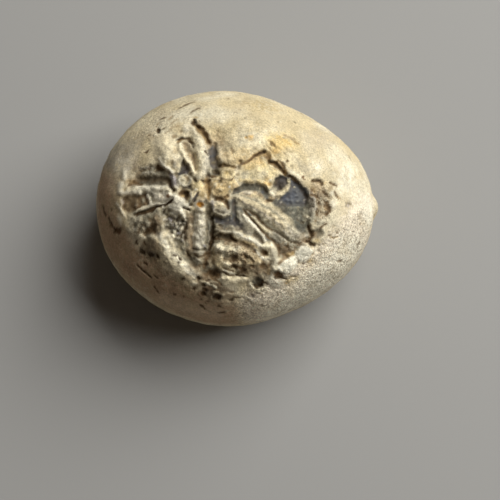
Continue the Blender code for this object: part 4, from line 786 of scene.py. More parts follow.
LEDGE = (
    # the honey tongue under the ledge
    (patch(1.1, (0.7, 7.7), (2.2, 8.2), (3.6, 9.1), (5.4, 9.2), (6, 8.2), (7.6, 7.6), (8.4, 6.9), (7.2, 5.7),
           (7, 4.6), (5.4, 4.3), (3, 4.7), (1.5, 4.8), (0.5, 5.2)), IVORY, 1, 0.1),
    (spot(3.8, 6.6, 3.2, 1.8), IVORY, 0.6, 0.3),
    (spot(5, 6, 1.6, 1, 20), PALE, 0.5),
    (spot(6, 5.2, 1.1, 0.9), HONEY, 0.9),
    (line(0.55, (0.8, 4.9, 0.8), (2.4, 4.9), (4.2, 4.8), (5.6, 4.2), (6.2, 3.7, 0.6)),
     STRAW, 1.4, 0.15),
    (spot(1.6, 6, 1.2, 1.4), PALE, 0.8),
    (spot(3.3, 8.2, 1.5, 0.9), OCHRE, 0.8),
    (spot(3.2, 8.5, 0.9, 0.6), ORANGE, 0.35),
    (spot(5.4, 7.8, 1.2, 0.9), OCHRE, 0.6, 0.05),
    (spot(5.1, 9.4, 0.6, 0.4), PALE, 0.9, 0.22),
    (line(0.3, (4.2, 9.3), (4.6, 8.5)), TAN, 1.1, -0.2),
    (spot(7.6, 7, 0.7, 0.5), TAN, 0.9, -0.15),
    (line(0.26, (6.9, 7.4), (7.6, 6.9)), HONEY, 0.9, -0.1),
    (line(0.22, (2.6, 4.75), (3.5, 4.75)), BROWN, 0.7, -0.1),
    (spot(6.5, 5.05, 0.42, 0.36), WHITE, 1.1, 0.2),
    (spot(6.4, 4.3, 0.9, 0.5), AMBER, 1, -0.1),
    # the split along the ledge, in a broad brown stain
    (line(0.8, (1.6, 8.1, 0.8), (2.8, 9), (4, 9.7), (5, 10.4, 1.1), (5.8, 9.9, 0.8)), TOFFEE, 0.75),
    (line(0.6, (1.5, 8, 0.7), (2.3, 8.4), (2.9, 9), (3.4, 9.4), (4, 9.7, 0.8)), AMBER, 1.8, -0.3),
    (line(0.3, (2, 8.2, 0.7), (2.9, 8.9), (3.6, 9.5), (4.2, 9.9, 0.8)), BROWN, 1.3, -0.1),
    (line(0.26, (2.5, 8.7), (3.1, 9.2), (3.6, 9.6)), RUST, 1, -0.1),
    (line(0.75, (3.6, 9.6, 0.7), (4.4, 10), (5, 10.3, 1.1), (5.7, 9.8), (6.1, 9.1, 0.7)), BROWN, 2.2, -0.5),
    (spot(5, 10.25, 0.8, 0.5, 10), PITCH, 2.2, -0.2),
    (line(0.34, (6.1, 10.3), (6.4, 9.7), (6.55, 9.1, 1.1)), TOFFEE, 1.3, -0.18),
    (line(0.75, (6, 8.6, 0.7), (7, 8.4), (8.2, 8.1), (8.7, 7.2), (9.4, 6.5, 0.7)), TOFFEE, 0.85),
    (line(0.42, (5.9, 8.8, 0.6), (6.2, 8.35), (6.9, 8.25), (7.6, 8.35, 1.1)), PITCH, 1.3, -0.4),
    (line(0.36, (7.5, 8.5), (8.1, 8.75), (8.7, 8.45), (9, 7.9), (9, 7.3, 0.8)), BROWN, 1.1, -0.22),
    (line(0.7, (6.4, 8.5, 0.7), (7.3, 8.1), (8.1, 7.7, 1.1), (8.7, 7, 1.1), (9.3, 6.3, 0.8)), BROWN, 2, -0.5),
    (line(0.45, (7.2, 8.1, 0.8), (8.1, 7.6, 1.1), (8.7, 6.9, 1.1), (9.2, 6.3, 0.8)), PITCH, 1.8, -0.15),
    (line(0.55, (8.9, 6.5), (9.6, 6.1), (10.6, 5.6), (11.4, 5, 0.7), (12, 4.4, 0.5)), PITCH, 1.4, -0.35),
    (line(0.6, (9.3, 7.4, 0.7), (10.4, 6.8), (11.6, 6.1), (12.8, 5.4, 0.7)), PALE, 0.8, 0.08),
    (spot(9.6, 8.55, 0.42, 0.46), BROWN, 1.5, -0.4),
    (spot(9.15, 8.6, 0.26, 0.26), PALE, 0.9, 0.14),
    (spot(7, 9.1, 0.9, 0.45), PALE, 0.8, 0.22),
    # ochre bloom above it
    (spot(8.4, 12, 4.8, 3.8, -20), OCHRE, 1.2),
    (spot(7.6, 10.6, 1.8, 1.1), SAFFRON, 0.7, 0.08),
    (line(0.5, (6.4, 12.6), (7.6, 12), (8.6, 11)), SAFFRON, 0.7),
    (line(0.45, (8.4, 13.2), (9.8, 12.4), (10.8, 11.4)), SAFFRON, 0.5),
    (spot(4.2, 12.6, 2.4, 2), PALE, 0.6, 0.12),
    (spot(3.3, 11.4, 1, 1), WHITE, 0.45, 0.08),
    (spot(2.8, 12.9, 1, 0.8), TOFFEE, 0.55),
    (spot(1.5, 10.8, 1.3, 1.3), HONEY, 0.6),
    (spot(1, 9.2, 1.4, 0.9), HONEY, 0.5),
    (line(0.36, (6.5, 12.3, 0.7), (7, 11.7, 1.1), (7.4, 11.3, 0.7)), TOFFEE, 1.6, -0.25),
    (spot(6.3, 10.9, 0.36, 0.3), TAN, 0.8, -0.15),
    (spot(8.1, 13.1, 0.5, 0.3), TAN, 0.8, -0.08),
    (spot(8.8, 12.5, 0.4, 0.3), TAN, 0.7, -0.08),
    (line(0.42, (9.4, 13.9), (10.2, 13.4), (11, 12.8)), TAN, 0.9, -0.12),
    (line(0.4, (6.2, 12.7, 0.7), (6.9, 12.1, 1.2), (7.3, 11.6, 0.7)), BROWN, 1.1, -0.25),
    (line(0.24, (5.6, 11.9), (6.2, 11.1), (7.2, 10.4)), TOFFEE, 0.8, -0.08),
    (line(0.24, (7.8, 11.4), (8.8, 10.6), (9.6, 9.6)), TOFFEE, 0.8, -0.08),
    (line(0.24, (8.4, 12), (9.6, 11), (10.4, 10)), TOFFEE, 0.6, -0.08),
    (spot(2, 13.2, 0.5, 0.36), SAFFRON, 1.2, -0.1),
    (spot(2.2, 13.3, 0.22, 0.18), BROWN, 0.9, -0.1),
    (spot(9.2, 13.3, 0.6, 0.36), TAN, 0.8, -0.1),
    (line(0.28, (11.2, 12.5), (11.9, 12.1)), TOFFEE, 1.1, -0.2),
    (line(0.28, (12.7, 5.8, 1.1), (13, 5.2, 0.8)), RUST, 1.4, -0.22),
    (line(0.9, (9.5, 11.5), (11.5, 9), (13.5, 7)), ASH, 0.25),
)

RIGHT_CRUST = (
    (spot(16.1, 1.2, 1, 1.5), MOSS, 0.8),
    (line(0.6, (14.4, 4.9, 0.6), (15.2, 5), (15.9, 4.8, 1.2), (16.3, 4.4)), PITCH, 1.7, -0.55),
    (spot(15.3, 4.3, 1.3, 0.8), TAN, 0.9, 0.15),
    (line(0.4, (17.9, 4.7), (18.4, 4.4), (19, 4.05)), BROWN, 1.6, -0.27),
    (spot(18, 3.7, 0.6, 0.8), TAN, 1, -0.1),
    (line(0.5, (16.5, 2.8, 0.8), (17, 2.3, 1.1), (17.6, 1.8, 0.8)), PITCH, 1.6, -0.45),
    (line(0.36, (18.6, 2.8), (19, 2.2), (19.4, 1.7, 0.7)), BROWN, 1.5, -0.25),
    (line(0.28, (19.4, 2.2), (20, 1.4)), TAN, 1.2, -0.15),
    (line(0.42, (14.2, 2.4), (14.9, 2), (15.6, 1.7, 0.7)), BROWN, 1.5, -0.31),
    (line(0.3, (14.2, 3.6), (14.3, 2.8)), BROWN, 1, -0.22),
    (line(0.5, (17, 1, 0.6), (17.2, 0.2), (17.6, -0.7, 1.1), (17.1, -1.5)), BROWN, 1.4, -0.3),
    (line(0.5, (15.3, -0.3), (15.4, -1.6)), BROWN, 1.1, -0.28),
    (line(0.3, (16, -0.7), (16.1, -1.5)), BROWN, 0.9, -0.22),
    (spot(16.7, 0.1, 0.4, 0.34), BROWN, 1.3, -0.25),
    (spot(15.6, 0.7, 0.45, 0.4), BROWN, 1, -0.28),
    (spot(16.3, 0.9, 0.42, 0.34), PALE, 0.9, 0.2),
    (spot(16.3, -0.5, 0.5, 0.7), CREAM, 0.9, 0.25),
    (spot(15.2, 0, 0.4, 0.5), ASH, 0.9, 0.18),
    (spot(15.6, 3.3, 1, 0.8), TAN, 0.9, 0.2),
    (spot(16.7, 3.7, 0.6, 0.6), CREAM, 0.7, 0.18),
    (spot(16.2, 2.6, 0.5, 0.5), UMBER, 0.8, 0.1),
    (spot(16.9, 4.7, 0.6, 0.45), HONEY, 0.8, 0.08),
    (spot(18.2, 2.6, 0.5, 0.8), WHITE, 0.8, 0.22),
    (spot(18.6, 0.6, 0.8, 1.6, -10), WHITE, 0.7, 0.1),
    (spot(16, -2.8, 0.9, 0.8), PALE, 0.9, 0.2),
    (spot(15, -2.5, 0.6, 0.5), TAN, 1, -0.2),
    # faint round mark on the smooth skin
    (spot(21.45, 0.45, 0.85, 0.7), MAUVE, 0.6, -0.08),
    (line(0.26, (21, 0.9), (21.6, 1), (22, 0.6)), OLIVE, 0.9, -0.15),
    (spot(20.9, 0.3, 0.26, 0.36), OLIVE, 0.9, -0.18),
    (spot(21.5, -0.1, 0.24, 0.2), MOSS, 0.9, -0.12),
    (line(0.6, (23.7, -1.8), (24.3, -0.9)), ASH, 0.7, -0.1),
    (spot(24.1, -3, 0.35, 0.3), TAN, 0.8, -0.15),
    # the cavern under it
    (spot(15.6, -4.8, 1.35, 1.2), MOSS, 1.5, -0.6),
    (spot(15, -5.2, 0.7, 0.8), UMBER, 0.8, -0.1),
    (line(0.75, (13.7, -3.9, 0.7), (14.2, -4.7), (14.4, -5.5), (14.1, -6.1, 0.8)), BROWN, 1.7, -0.55),
    (line(0.4, (13.6, -4, 0.7), (14.2, -4.9), (14.3, -5.7)), PITCH, 1.3, -0.2),
    (line(0.46, (13.3, -6.6, 0.8), (14, -6.8, 1.2), (14.8, -7.3)), PITCH, 1.8, -0.45),
    (spot(13.9, -6, 0.4, 0.3), PITCH, 1.4, -0.33),
    (spot(13.1, -5.4, 0.6, 0.5), ASH, 0.7, 0.15),
    (spot(15.4, -6.2, 0.6, 0.45), HONEY, 1.1, -0.08),
    (line(0.34, (15.9, -4), (16.6, -3.5), (17.2, -3.15)), BROWN, 1.2, -0.25),
    (line(0.32, (16.6, -4.3), (16.8, -5.2), (16.2, -6.1)), PALE, 1, 0.17),
    # small pits in the sandy skin
    (spot(17.8, -5.4, 0.4, 0.28), BROWN, 1.5, -0.22),
    (line(0.3, (18.1, -5.8), (18.7, -5.9), (19.2, -5.8)), TOFFEE, 1.4, -0.2),
    (spot(19.2, -4.8, 0.4, 0.32), TAN, 1.2, -0.25),
    (spot(18.4, -3.5, 0.32, 0.4), TAN, 1.1, -0.2),
    (spot(16.6, -7.1, 0.42, 0.3), BROWN, 1.4, -0.23),
    (spot(15.7, -7.2, 0.32, 0.26), BROWN, 1, -0.22),
    (spot(15.7, -8, 0.34, 0.3), BROWN, 1, -0.23),
    (spot(18.3, -8.3, 0.32, 0.28), TAN, 1, -0.23),
    (line(0.28, (23.9, -6.7), (23.5, -7.5)), BROWN, 1, -0.23),
    (line(0.24, (19.5, -10.2), (20.3, -10.2)), BROWN, 0.9, -0.2),
    (spot(20.4, -9.5, 0.26, 0.24), TAN, 0.9, -0.2),
    (spot(14.4, -9, 0.6, 0.4), HONEY, 1.1, -0.2),
    (spot(12.7, -10.7, 0.4, 0.3), BROWN, 1.2, -0.23),
    (spot(13.4, -10.5, 0.3, 0.26), BROWN, 1.1, -0.2),
    (spot(14.2, -10.6, 1.3, 1.9, -20), HONEY, 0.45),
    # the chalk-white patch
    (patch(0.6, (7.8, -11.4), (8.8, -10.3), (10.2, -9.4), (11.2, -9.4), (11.6, -10.2), (11.2, -11.2),
           (10.4, -12), (9.4, -12.5), (8.3, -12.3)), CHALK, 2.6, 0.25),
    (patch(0.6, (10.9, -9.9), (11.4, -8.6), (12.4, -7.5), (13.6, -7.6), (14.6, -8.2), (14.2, -9.3),
           (13, -10.1), (11.9, -10.3)), CHALK, 2.6, 0.25),
    (line(0.24, (11.4, -9.3), (11.7, -9.9), (11.8, -10.6)), UMBER, 1, -0.12),
    (spot(14.2, -10.2, 0.9, 0.4, 30), HONEY, 0.9, -0.1),
    (spot(9.6, -11, 1, 0.5, 30), DRAB, 0.35),
    (spot(12.9, -8.9, 1, 0.5, 30), DRAB, 0.3),
    (spot(8.8, -11.9, 0.5, 0.3), TAN, 0.6, -0.12),
    (line(0.4, (8, -10.5), (8.8, -10), (9.6, -9.3)), UMBER, 1, -0.22),
)

LOWER_FLANK = (
    (spot(-17.9, -8.5, 0.85, 0.5, -35), PITCH, 2.4, -0.5),
    (spot(-16.1, -8.9, 0.75, 0.52, 5), PITCH, 2.6, -0.5),
    (spot(-14.8, -9.2, 0.42, 0.75, 10), PITCH, 2.2, -0.45),
    (spot(-16.9, -9.6, 0.4, 0.26, -20), BROWN, 1.4, -0.2),
    (spot(-18.9, -6.9, 0.5, 0.34, -20), PITCH, 1.6, -0.25),
    (spot(-13.4, -10.6, 0.5, 0.26, -25), PITCH, 1.4, -0.2),
    (spot(-11.6, -9.2, 0.7, 0.28, -10), PITCH, 1.8, -0.25),
    (spot(-10.5, -9.9, 0.45, 0.26, -50), PITCH, 1.8, -0.25),
    (line(0.28, (-17.5, -10.3), (-16.8, -10.9)), BROWN, 1.2, -0.23),
    (line(0.28, (-18.9, -11, 0.7), (-17.9, -11.9), (-16.9, -12.6, 1.2), (-16.2, -13.3, 0.7)),
     PITCH, 1.1, -0.33),
    (line(0.28, (-15.6, -12.9), (-15, -13.3)), BROWN, 1.1, -0.23),
    (line(0.28, (-15.7, -15.1), (-15.3, -15.8), (-15, -16.4)), BROWN, 1.1, -0.23),
    (spot(-11.6, -16.4, 0.36, 0.3), BROWN, 1.1, -0.25),
    (spot(-10, -17.1, 0.32, 0.28), BROWN, 0.9, -0.2),
    (spot(-7.1, -13.5, 0.75, 0.5, -10), PITCH, 1.7, -0.53),
    (spot(-5.2, -13.8, 0.75, 0.36, 10), PITCH, 2.2, -0.4),
    (spot(-6.1, -14.6, 0.6, 0.42, -40), PITCH, 2, -0.4),
    (spot(-8, -15.3, 0.6, 0.36), BROWN, 1.6, -0.25),
    (spot(-5.9, -15.6, 0.8, 0.45, -15), BROWN, 2.2, -0.4),
    (spot(-6.2, -16.4, 0.62, 0.8), BROWN, 2, -0.5),
    (spot(-6.3, -16.4, 0.4, 0.5), PITCH, 1.8, -0.1),
    (spot(-4.8, -14.7, 0.5, 0.3, 20), PITCH, 1.4, -0.2),
    (spot(-6.7, -17.5, 0.36, 0.3), BROWN, 1.4, -0.25),
    (spot(-3.6, -17, 1.05, 0.8, -5), PITCH, 2.6, -0.75),
    (spot(-1, -17.5, 0.62, 0.45, 10), PITCH, 2.2, -0.45),
    (line(0.26, (-0.7, -17.2), (0.4, -17.1)), BROWN, 1.3, -0.2),
    (line(0.26, (-1, -16.1), (-0.2, -16)), BROWN, 1.3, -0.2),
    (spot(-5.5, -18, 0.4, 0.3), BROWN, 1.4, -0.25),
    (spot(-6.1, -18.3, 0.32, 0.26), BROWN, 1.2, -0.22),
    (line(0.26, (-6.9, -18.6), (-6.4, -19.1), (-6, -19.6)), BROWN, 1.3, -0.2),
    (line(0.26, (-3.3, -18.7), (-2.8, -19)), BROWN, 1.3, -0.22),
    (spot(-2.7, -18.3, 0.28, 0.24), BROWN, 1.1, -0.2),
    (line(0.24, (-3.6, -20.2), (-2.2, -20.2)), BROWN, 1.2, -0.18),
    (spot(-7.9, -14.6, 1, 0.5, 15), PALE, 1, 0.25),
    (line(0.36, (-5.7, -14.4), (-4.8, -14.8), (-3.8, -15.2)), PALE, 1.1, 0.18),
    (line(0.3, (-6.8, -13.9), (-6, -14)), CREAM, 0.8, 0.15),
    (line(0.38, (-4.3, -16), (-3.4, -16.1), (-2.4, -16.6)), CREAM, 0.9, 0.19),
    (line(0.36, (-4.4, -13.6), (-3.6, -14), (-2.8, -14.6)), BROWN, 0.9, -0.2),
)

UPPER_SKIN = (
    (line(0.3, (-14.8, 17.2), (-14, 17.5, 1.1)), BROWN, 1.2, -0.23),
    (line(0.24, (-13.2, 17), (-12.4, 17.9)), TAN, 1.1, -0.18),
    (line(0.24, (-12.6, 16.2), (-11.6, 17.2)), TAN, 0.9, -0.15),
    (line(0.24, (-13.6, 14), (-12.6, 15.2), (-11.8, 15.8)), TAN, 0.8, -0.12),
    (line(0.24, (-15.7, 15.4), (-15.3, 16.1), (-15, 16.6)), TAN, 1.2, -0.18),
    (spot(-15.05, 14.75, 0.6, 0.6), BROWN, 1.7, -0.45),
    (spot(-14.9, 14.5, 0.38, 0.36), PITCH, 1.5, -0.25),
    (line(0.24, (-14.2, 15.1), (-13.7, 15.4)), BROWN, 1.1, -0.18),
    (spot(-15.5, 13.8, 0.6, 0.4), PALE, 0.9, 0.22),
    (spot(-16.8, 13.9, 0.38, 0.3), BROWN, 1.1, -0.25),
    (line(0.24, (-8.9, 18.3), (-8.2, 19), (-7.2, 19.2)), BROWN, 1, -0.18),
    (line(0.26, (-11.7, 19.3), (-11, 19.7), (-10.3, 20.1), (-9.3, 20.4), (-8.4, 20.6)), BROWN, 0.9, -0.22),
    (spot(-17.3, 10.8, 0.7, 0.6), PALE, 0.7, -0.1),
    (line(0.22, (-17.7, 10.5), (-17.2, 10.4), (-16.9, 10.8)), BROWN, 1, -0.16),
    (spot(-21.5, 7.4, 0.5, 0.4), WHITE, 0.7, 0.1),
    (spot(1.7, 17.2, 0.36, 0.38), OLIVE, 0.8, -0.22),
    (spot(8.1, 16.6, 0.28, 0.42, 25), OLIVE, 1, -0.22),
    (spot(8.5, 16.6, 0.28, 0.3), WHITE, 0.7, 0.14),
    (spot(11.3, 16.7, 0.42, 0.3, -30), OLIVE, 0.9, -0.22),
    (spot(0.5, 13.6, 0.7, 0.4), MOSS, 0.5, -0.08),
    (spot(2.5, 19.8, 0.32, 0.26), BROWN, 0.8, -0.2),
    (spot(0.6, 19, 0.32, 0.26), BROWN, 0.7, -0.2),
    (spot(-1.6, 21.5, 0.36, 0.26), BROWN, 0.8, -0.2),
)

GLAZES = (
    # broad thin stains and worn patches over the finished marks, with painted shade in some hollows and
    # painted light on the lower right skin and in a plate
    (spot(-19.4, 7.4, 2, 3.2), BROWN, 0.75, -0.1),
    (line(1.2, (-18, 5.2), (-15.5, 4.9), (-13.4, 5.2)), OLIVE, 0.6),
    # tan in the valley beside the upper ray: painted shade
    (spot(-4.9, 12.2, 1.3, 2.6), TAN, 0.8, -0.1),
    (spot(-3, 11.6, 1.4, 2.6), TAN, 0.5),
    (spot(-9.3, 13.6, 1.2, 1), MILK, 0.8),
    (spot(-9.6, 7.2, 1, 1.4), MAUVE, 0.6),
    (line(0.9, (-7.6, 12), (-7, 9.4), (-6.9, 7.6)), MILK, 0.7),
    (line(0.7, (-18.4, 3.5), (-16.4, 3.4), (-15, 3.5)), PALE, 0.8),
    (spot(-20.6, 3.4, 0.9, 0.7), PALE, 0.8),
    (spot(-19.2, 0.4, 2.2, 1.5), BROWN, 0.55),
    (spot(-16.9, 1, 0.9, 1), BROWN, 0.55),
    (line(0.8, (-20.6, -1.4), (-18, -1), (-16, -0.9), (-14.8, -0.9)), OLIVE, 0.75),
    (spot(-16.4, -2, 2.4, 1.4), OLIVE, 0.85, -0.1),
    (spot(-14.9, -4.9, 1.2, 1.6), UMBER, 0.7, -0.1),
    (spot(-18, -4.6, 1.6, 1.4), TAN, 0.5),
    (spot(-12.6, -3.4, 1.8, 1.6), OLIVE, 0.7, -0.1),
    (spot(-13, -6.2, 1.2, 1.4, -45), MOSS, 0.7),
    (line(1.3, (-10.8, -6.6), (-10.2, -8.4), (-8.8, -9.8)), OLIVE, 0.8, -0.15),
    (spot(-13.6, -9.2, 1.3, 1, -45), MILK, 0.8),
    (spot(-9.2, -13.2, 1.4, 1, -45), TAN, 0.7),
    (spot(-6.9, -14.2, 2, 1.4), UMBER, 0.7),
    (spot(-4.9, -13.4, 2, 1.3), BROWN, 0.9, -0.1),
    (spot(-3.6, -15.6, 2, 2.2), BROWN, 0.7),
    (spot(-1.4, -17.2, 1.6, 1.2), UMBER, 0.6),
    (spot(-2.6, -3.4, 2.2, 1.4), SLATE, 0.85, -0.1),
    (spot(-2.4, -5.5, 2.2, 0.9), OLIVE, 0.8),
    (spot(-0.6, -0.2, 0.9, 2.2), FLINT, 0.75),
    (line(0.6, (-4.9, 0.4), (-4.8, -1.4), (-4.6, -3)), OLIVE, 0.7),
    (line(0.8, (-1.8, -6.8), (0, -7), (1.6, -7.2)), UMBER, 0.75),
    (spot(1, -3, 1.3, 1.8), FLINT, 0.4),
    (spot(-2, -9.2, 1.8, 0.8), PALE, 0.6),
    (spot(5.2, -10.8, 1.3, 1.4), BROWN, 0.7, -0.1),
    (spot(5, -8.2, 1, 0.8), BROWN, 0.5),
    (spot(3.6, -12.9, 1.6, 0.9), BROWN, 0.6),
    (spot(9.6, -8.6, 1.8, 1.2), UMBER, 0.5),
    (spot(15.2, -5, 1.2, 1.1), UMBER, 0.75),
    (spot(16, 0.8, 1.5, 1.5), UMBER, 0.4),
    (spot(11.4, 5.2, 1.6, 0.7, -35), BROWN, 0.8, -0.15),
    (spot(9.2, 6.9, 1.2, 0.8, -40), AMBER, 0.8),
    (spot(4.4, 9.4, 1.6, 0.9, 30), AMBER, 0.7),
    (spot(-0.8, 7.3, 1.3, 0.7), UMBER, 0.7),
    (line(0.9, (5.6, 13.2), (8.4, 12.2), (10.6, 10.8)), OCHRE, 0.4),
    (spot(-15.2, -7.2, 2.6, 1.5), UMBER, 0.75),
    (spot(-0.7, 0.9, 0.9, 1.5), FLINT, 1.2),
    (spot(-1.2, -2.6, 2.6, 0.9), SLATE, 1.2),
    (spot(-3.2, -4.2, 1.4, 0.7), UMBER, 0.8),
    (spot(-5.8, -13.2, 1.6, 1.2), BROWN),
    (spot(-2.6, -16.2, 3.4, 2.2), UMBER),
    (spot(-17.4, -5.2, 3.4, 1.4), MOSS, 0.6),
    (spot(-17.6, -2.8, 2.2, 1.2), MOSS, 0.9),
    (spot(-16.9, 1, 0.8, 1), UMBER),
    (spot(-5.2, 6.6, 0.8, 1.2), OLIVE, 1.2),
    # peat over the right ray's near end: painted shadow
    (spot(3.4, 3.5, 2.2, 0.7), PEAT),
    (spot(5.6, 0.9, 1.3, 0.7), UMBER),
    (spot(15.2, -5.2, 1.4, 1.2), BROWN, 1.2),
    (spot(13, -6.6, 1.7, 1.3), UMBER),
    (spot(5.2, -8.4, 1, 1.2), BROWN, 0.7),
    (spot(1.6, -7.3, 2, 0.7, -25), UMBER),
    (spot(9.8, -8.6, 2.2, 1.6), UMBER, 0.8),
    (spot(3.6, 15.4, 4.4, 2.6), TALLOW, 0.6),
    (spot(-7, -13.2, 1.4, 1.2), TAN, 0.8),
    (spot(-12.9, 1.9, 0.7, 0.6), RUST, 0.9),
    (line(1, (3, 0.6), (4.6, -0.4), (6.2, -1.5), (7.6, -2.6)), MILK, 0.8),
    # white over the lower right skin: painted light
    (line(1.2, (14, -13), (18, -11), (22, -8)), WHITE, 0.5),
    # white in the middle plate's dish: painted highlight
    (spot(-3.1, -0.1, 1.1, 0.9), WHITE, 1, 0.05),
    (spot(-9.95, 4.85, 0.9, 0.9), PALE),
    (line(0.8, (13.4, 3.4, 0.7), (14, 2.4), (14.4, 1), (14.4, -0.4)), TAUPE, 1.3, 0.1),
    (spot(12.9, 2.4, 1.2, 1.7, -25), SLATE, 2.6),
    (spot(8.3, 2.7, 1, 0.6, 35), CREAM, 1.2, 0.05),
    (spot(6.9, 2.7, 0.9, 1.1), PALE, 1.8, 0.12),
    (spot(6.6, 1.7, 0.6, 0.5), FAWN, 1.2),
    (spot(8.4, 4.5, 0.9, 0.9), SLATE, 1.5),
    (line(0.7, (9.2, -3.2), (10.4, -4), (11.6, -4.8)), PALE, 0.8, 0.1),
    (line(0.8, (4.2, 1.2), (6.2, 0.1), (8.2, -1.2), (10.2, -2.8)), CREAM, 0.6),
    (spot(-9.6, 14.2, 1.3, 1.8, 10), PALE, 0.5),
    # rust and honey stains round the middle of the star and along the ledge
    (line(0.8, (-5.5, 5.2), (-5.5, 3.6), (-5.2, 2)), TOFFEE, 0.9),
    (spot(-3.6, 2.6, 1.6, 1.2), HONEY, 0.6),
    (spot(-1, 4.6, 1.4, 1), STRAW, 0.7),
    (plate(-1.65, 6.25, 1.1, 0.32), BUTTER, 1.4, 0.12),
    (spot(-1.65, 6.25, 0.62, 0.6), OCHRE, 1.2, -0.05),
    (line(0.24, (-2.9, 5.5), (-2, 4.95), (-1, 5), (-0.4, 5.5)), BROWN, 1, -0.12),
    (spot(2.4, 7.4, 1.8, 0.9, 20), OCHRE, 0.8),
    (spot(4.4, 8.6, 1.4, 0.8), SAFFRON, 0.55),
    (spot(5.6, 4.4, 1.4, 0.5, -20), SAFFRON, 0.6),
    (spot(6.6, 8.9, 1.6, 0.7, -20), SAFFRON, 0.5),
    (spot(8.4, 12.2, 2.4, 1.6, -30), SAFFRON, 0.4),
    (spot(10.6, -13.8, 2.6, 1.2, 15), OCHRE, 0.6),
    (spot(10.2, -9, 1.4, 0.8), SAFFRON, 0.5),
    (spot(15.4, -6.6, 1.4, 0.9), OCHRE, 0.6),
    (spot(14.8, 3.2, 1, 1.4), AMBER, 0.5),
    (spot(17.2, -0.4, 0.9, 1.4), AMBER, 0.4),
    (spot(-19.8, 0.2, 1.6, 1.2), RUST, 0.6),
    (spot(-20.4, 5, 1.6, 0.9), AMBER, 0.6),
    (spot(2.2, -10.4, 2.2, 1.6), TOFFEE, 0.4),
    (spot(6.3, -11.8, 0.9, 1.6), TOFFEE, 0.6),
    # more worn patches and stains, on the ribs, the plates and the skin beside them
    (spot(3.6, 11.6, 3.6, 2.4, 10), MILK, 0.65),
    (spot(-0.6, 13.4, 2.6, 2), CREAM, 0.6),
    (spot(10.6, 9.6, 3.6, 2.2, -35), MILK, 0.55),
    (spot(15.4, 8, 3, 2.2, -35), WHITE, 0.6),
    (spot(15, 6, 1.6, 0.8), PALE, 0.7),
    (spot(6.8, 6.4, 1.8, 1), STRAW, 0.6),
    (spot(0.6, 6.6, 1.2, 1.6), MILK, 0.6),
    (spot(1.6, 4.9, 1.6, 0.6), STRAW, 0.9),
    (spot(-9.2, 13.6, 1.4, 1.4), MILK, 0.9),
    (line(1, (-7.8, 11.8), (-7.2, 9.4), (-7, 7.4)), MILK, 0.8),
    (spot(-13.4, 10.2, 2.4, 2.6), MILK, 0.6),
    (spot(-11.4, 9.4, 1, 1.6), PALE, 0.6),
    (spot(13.4, -1.8, 1.1, 2.8), DRAB, 0.8),
    (spot(14.4, -0.6, 0.9, 1.8), ASH, 0.6),
    (line(0.9, (-18.6, 3.5), (-16.6, 3.5), (-14.6, 3.5)), WHITE, 0.7),
    (spot(-11.2, 0.9, 1.2, 0.6, -30), WHITE, 0.9),
    (spot(-11.2, -0.9, 1.6, 0.8, -25), WHITE, 0.8),
    (spot(7.2, -11.4, 0.9, 1.6), PALE, 0.8),
    (spot(7.2, -14.4, 1.6, 1), WHITE, 0.9),
    (spot(-9, -9, 0.9, 1), TAN, 0.6),
    (spot(-21.4, 8, 2.4, 2.2), TAUPE, 0.75),
    (spot(-22.6, 5.2, 1.2, 1.4), TAN, 0.6),
    (spot(-4.7, 11, 0.9, 1.2), SLATE, 0.8),
    (spot(-3.5, 9.4, 0.6, 1), TAN, 1.1, 0.12),
    (spot(-4.3, 8.3, 0.7, 0.5, 20), OLIVE, 0.8),
    (spot(-4.9, 6.9, 0.7, 0.7), MOSS, 0.8),
    (spot(-5, 12.8, 0.9, 1.2), UMBER, 0.7),
    (spot(-1.6, 1.6, 1.2, 0.6), TOFFEE, 0.7),
    (spot(-0.7, 0.2, 0.8, 1.8), SLATE, 0.8),
    (spot(-3, -3.6, 1.8, 0.8), OLIVE, 0.7),
    (spot(-2.6, -4.9, 1.8, 0.7), BROWN, 0.6),
    (spot(-0.6, -7.2, 1.2, 0.8), UMBER, 0.6),
    (spot(-15.4, -7.4, 1.6, 1), TAN, 0.7),
    (spot(-17.2, -2.4, 1.4, 0.9), MOSS, 0.8),
    (spot(-15, -1, 0.9, 0.6), MOSS, 0.8),
    (line(1, (-14, -5), (-13.8, -6.4), (-13, -7.2)), ASH, 0.5),
    (spot(-9.3, -7.2, 0.8, 1), MOSS, 0.9),
    (spot(-5.4, -13, 1.8, 0.9), BROWN, 0.8),
    (spot(-4.4, -14.6, 1.8, 1.2), BROWN, 0.7),
    (spot(-2.6, -16.2, 1.6, 1.2), UMBER, 0.8),
    (spot(-1, -16.9, 1.4, 1.2), UMBER, 0.6),
    (spot(5.2, -11, 1.2, 1.2), BROWN, 0.7),
    (spot(3, -16.4, 1.4, 0.9), UMBER, 0.5),
    (spot(-5.6, -5.2, 0.5, 1.6), MOSS, 0.8),
    (spot(-19.8, -1.6, 1.6, 0.8), MOSS, 0.6),
    # lumps and hollows of the mound, with pale tops and brown hollows that are partly their own colour and
    # partly painted light and shade, the rim round it and the soft cream of the right ray
    (spot(-3.3, -7.7, 1.3, 1.2), PALE, 1, 0.3),
    (spot(-1.2, -8.3, 1.2, 1), CREAM, 0.9, 0.25),
    (spot(0.8, -8.4, 1.2, 1), TAN, 0.8, 0.22),
    (spot(2.6, -9.6, 1.2, 1.2), FAWN, 0.8, 0.2),
    (spot(-3.1, -9.8, 1, 0.9), CREAM, 0.8, 0.22),
    (spot(4.1, -10.3, 0.9, 1), FAWN, 0.6, 0.18),
    (spot(-0.6, -9.9, 1, 0.55, 20), BROWN, 1.2, -0.3),
    (spot(1.7, -9.4, 0.5, 0.6), BROWN, 0.8, -0.18),
    (spot(3.4, -8.5, 0.5, 0.5), BROWN, 1.3, -0.25),
    (spot(2.9, -11.2, 0.8, 0.45, -15), BROWN, 1.2, -0.25),
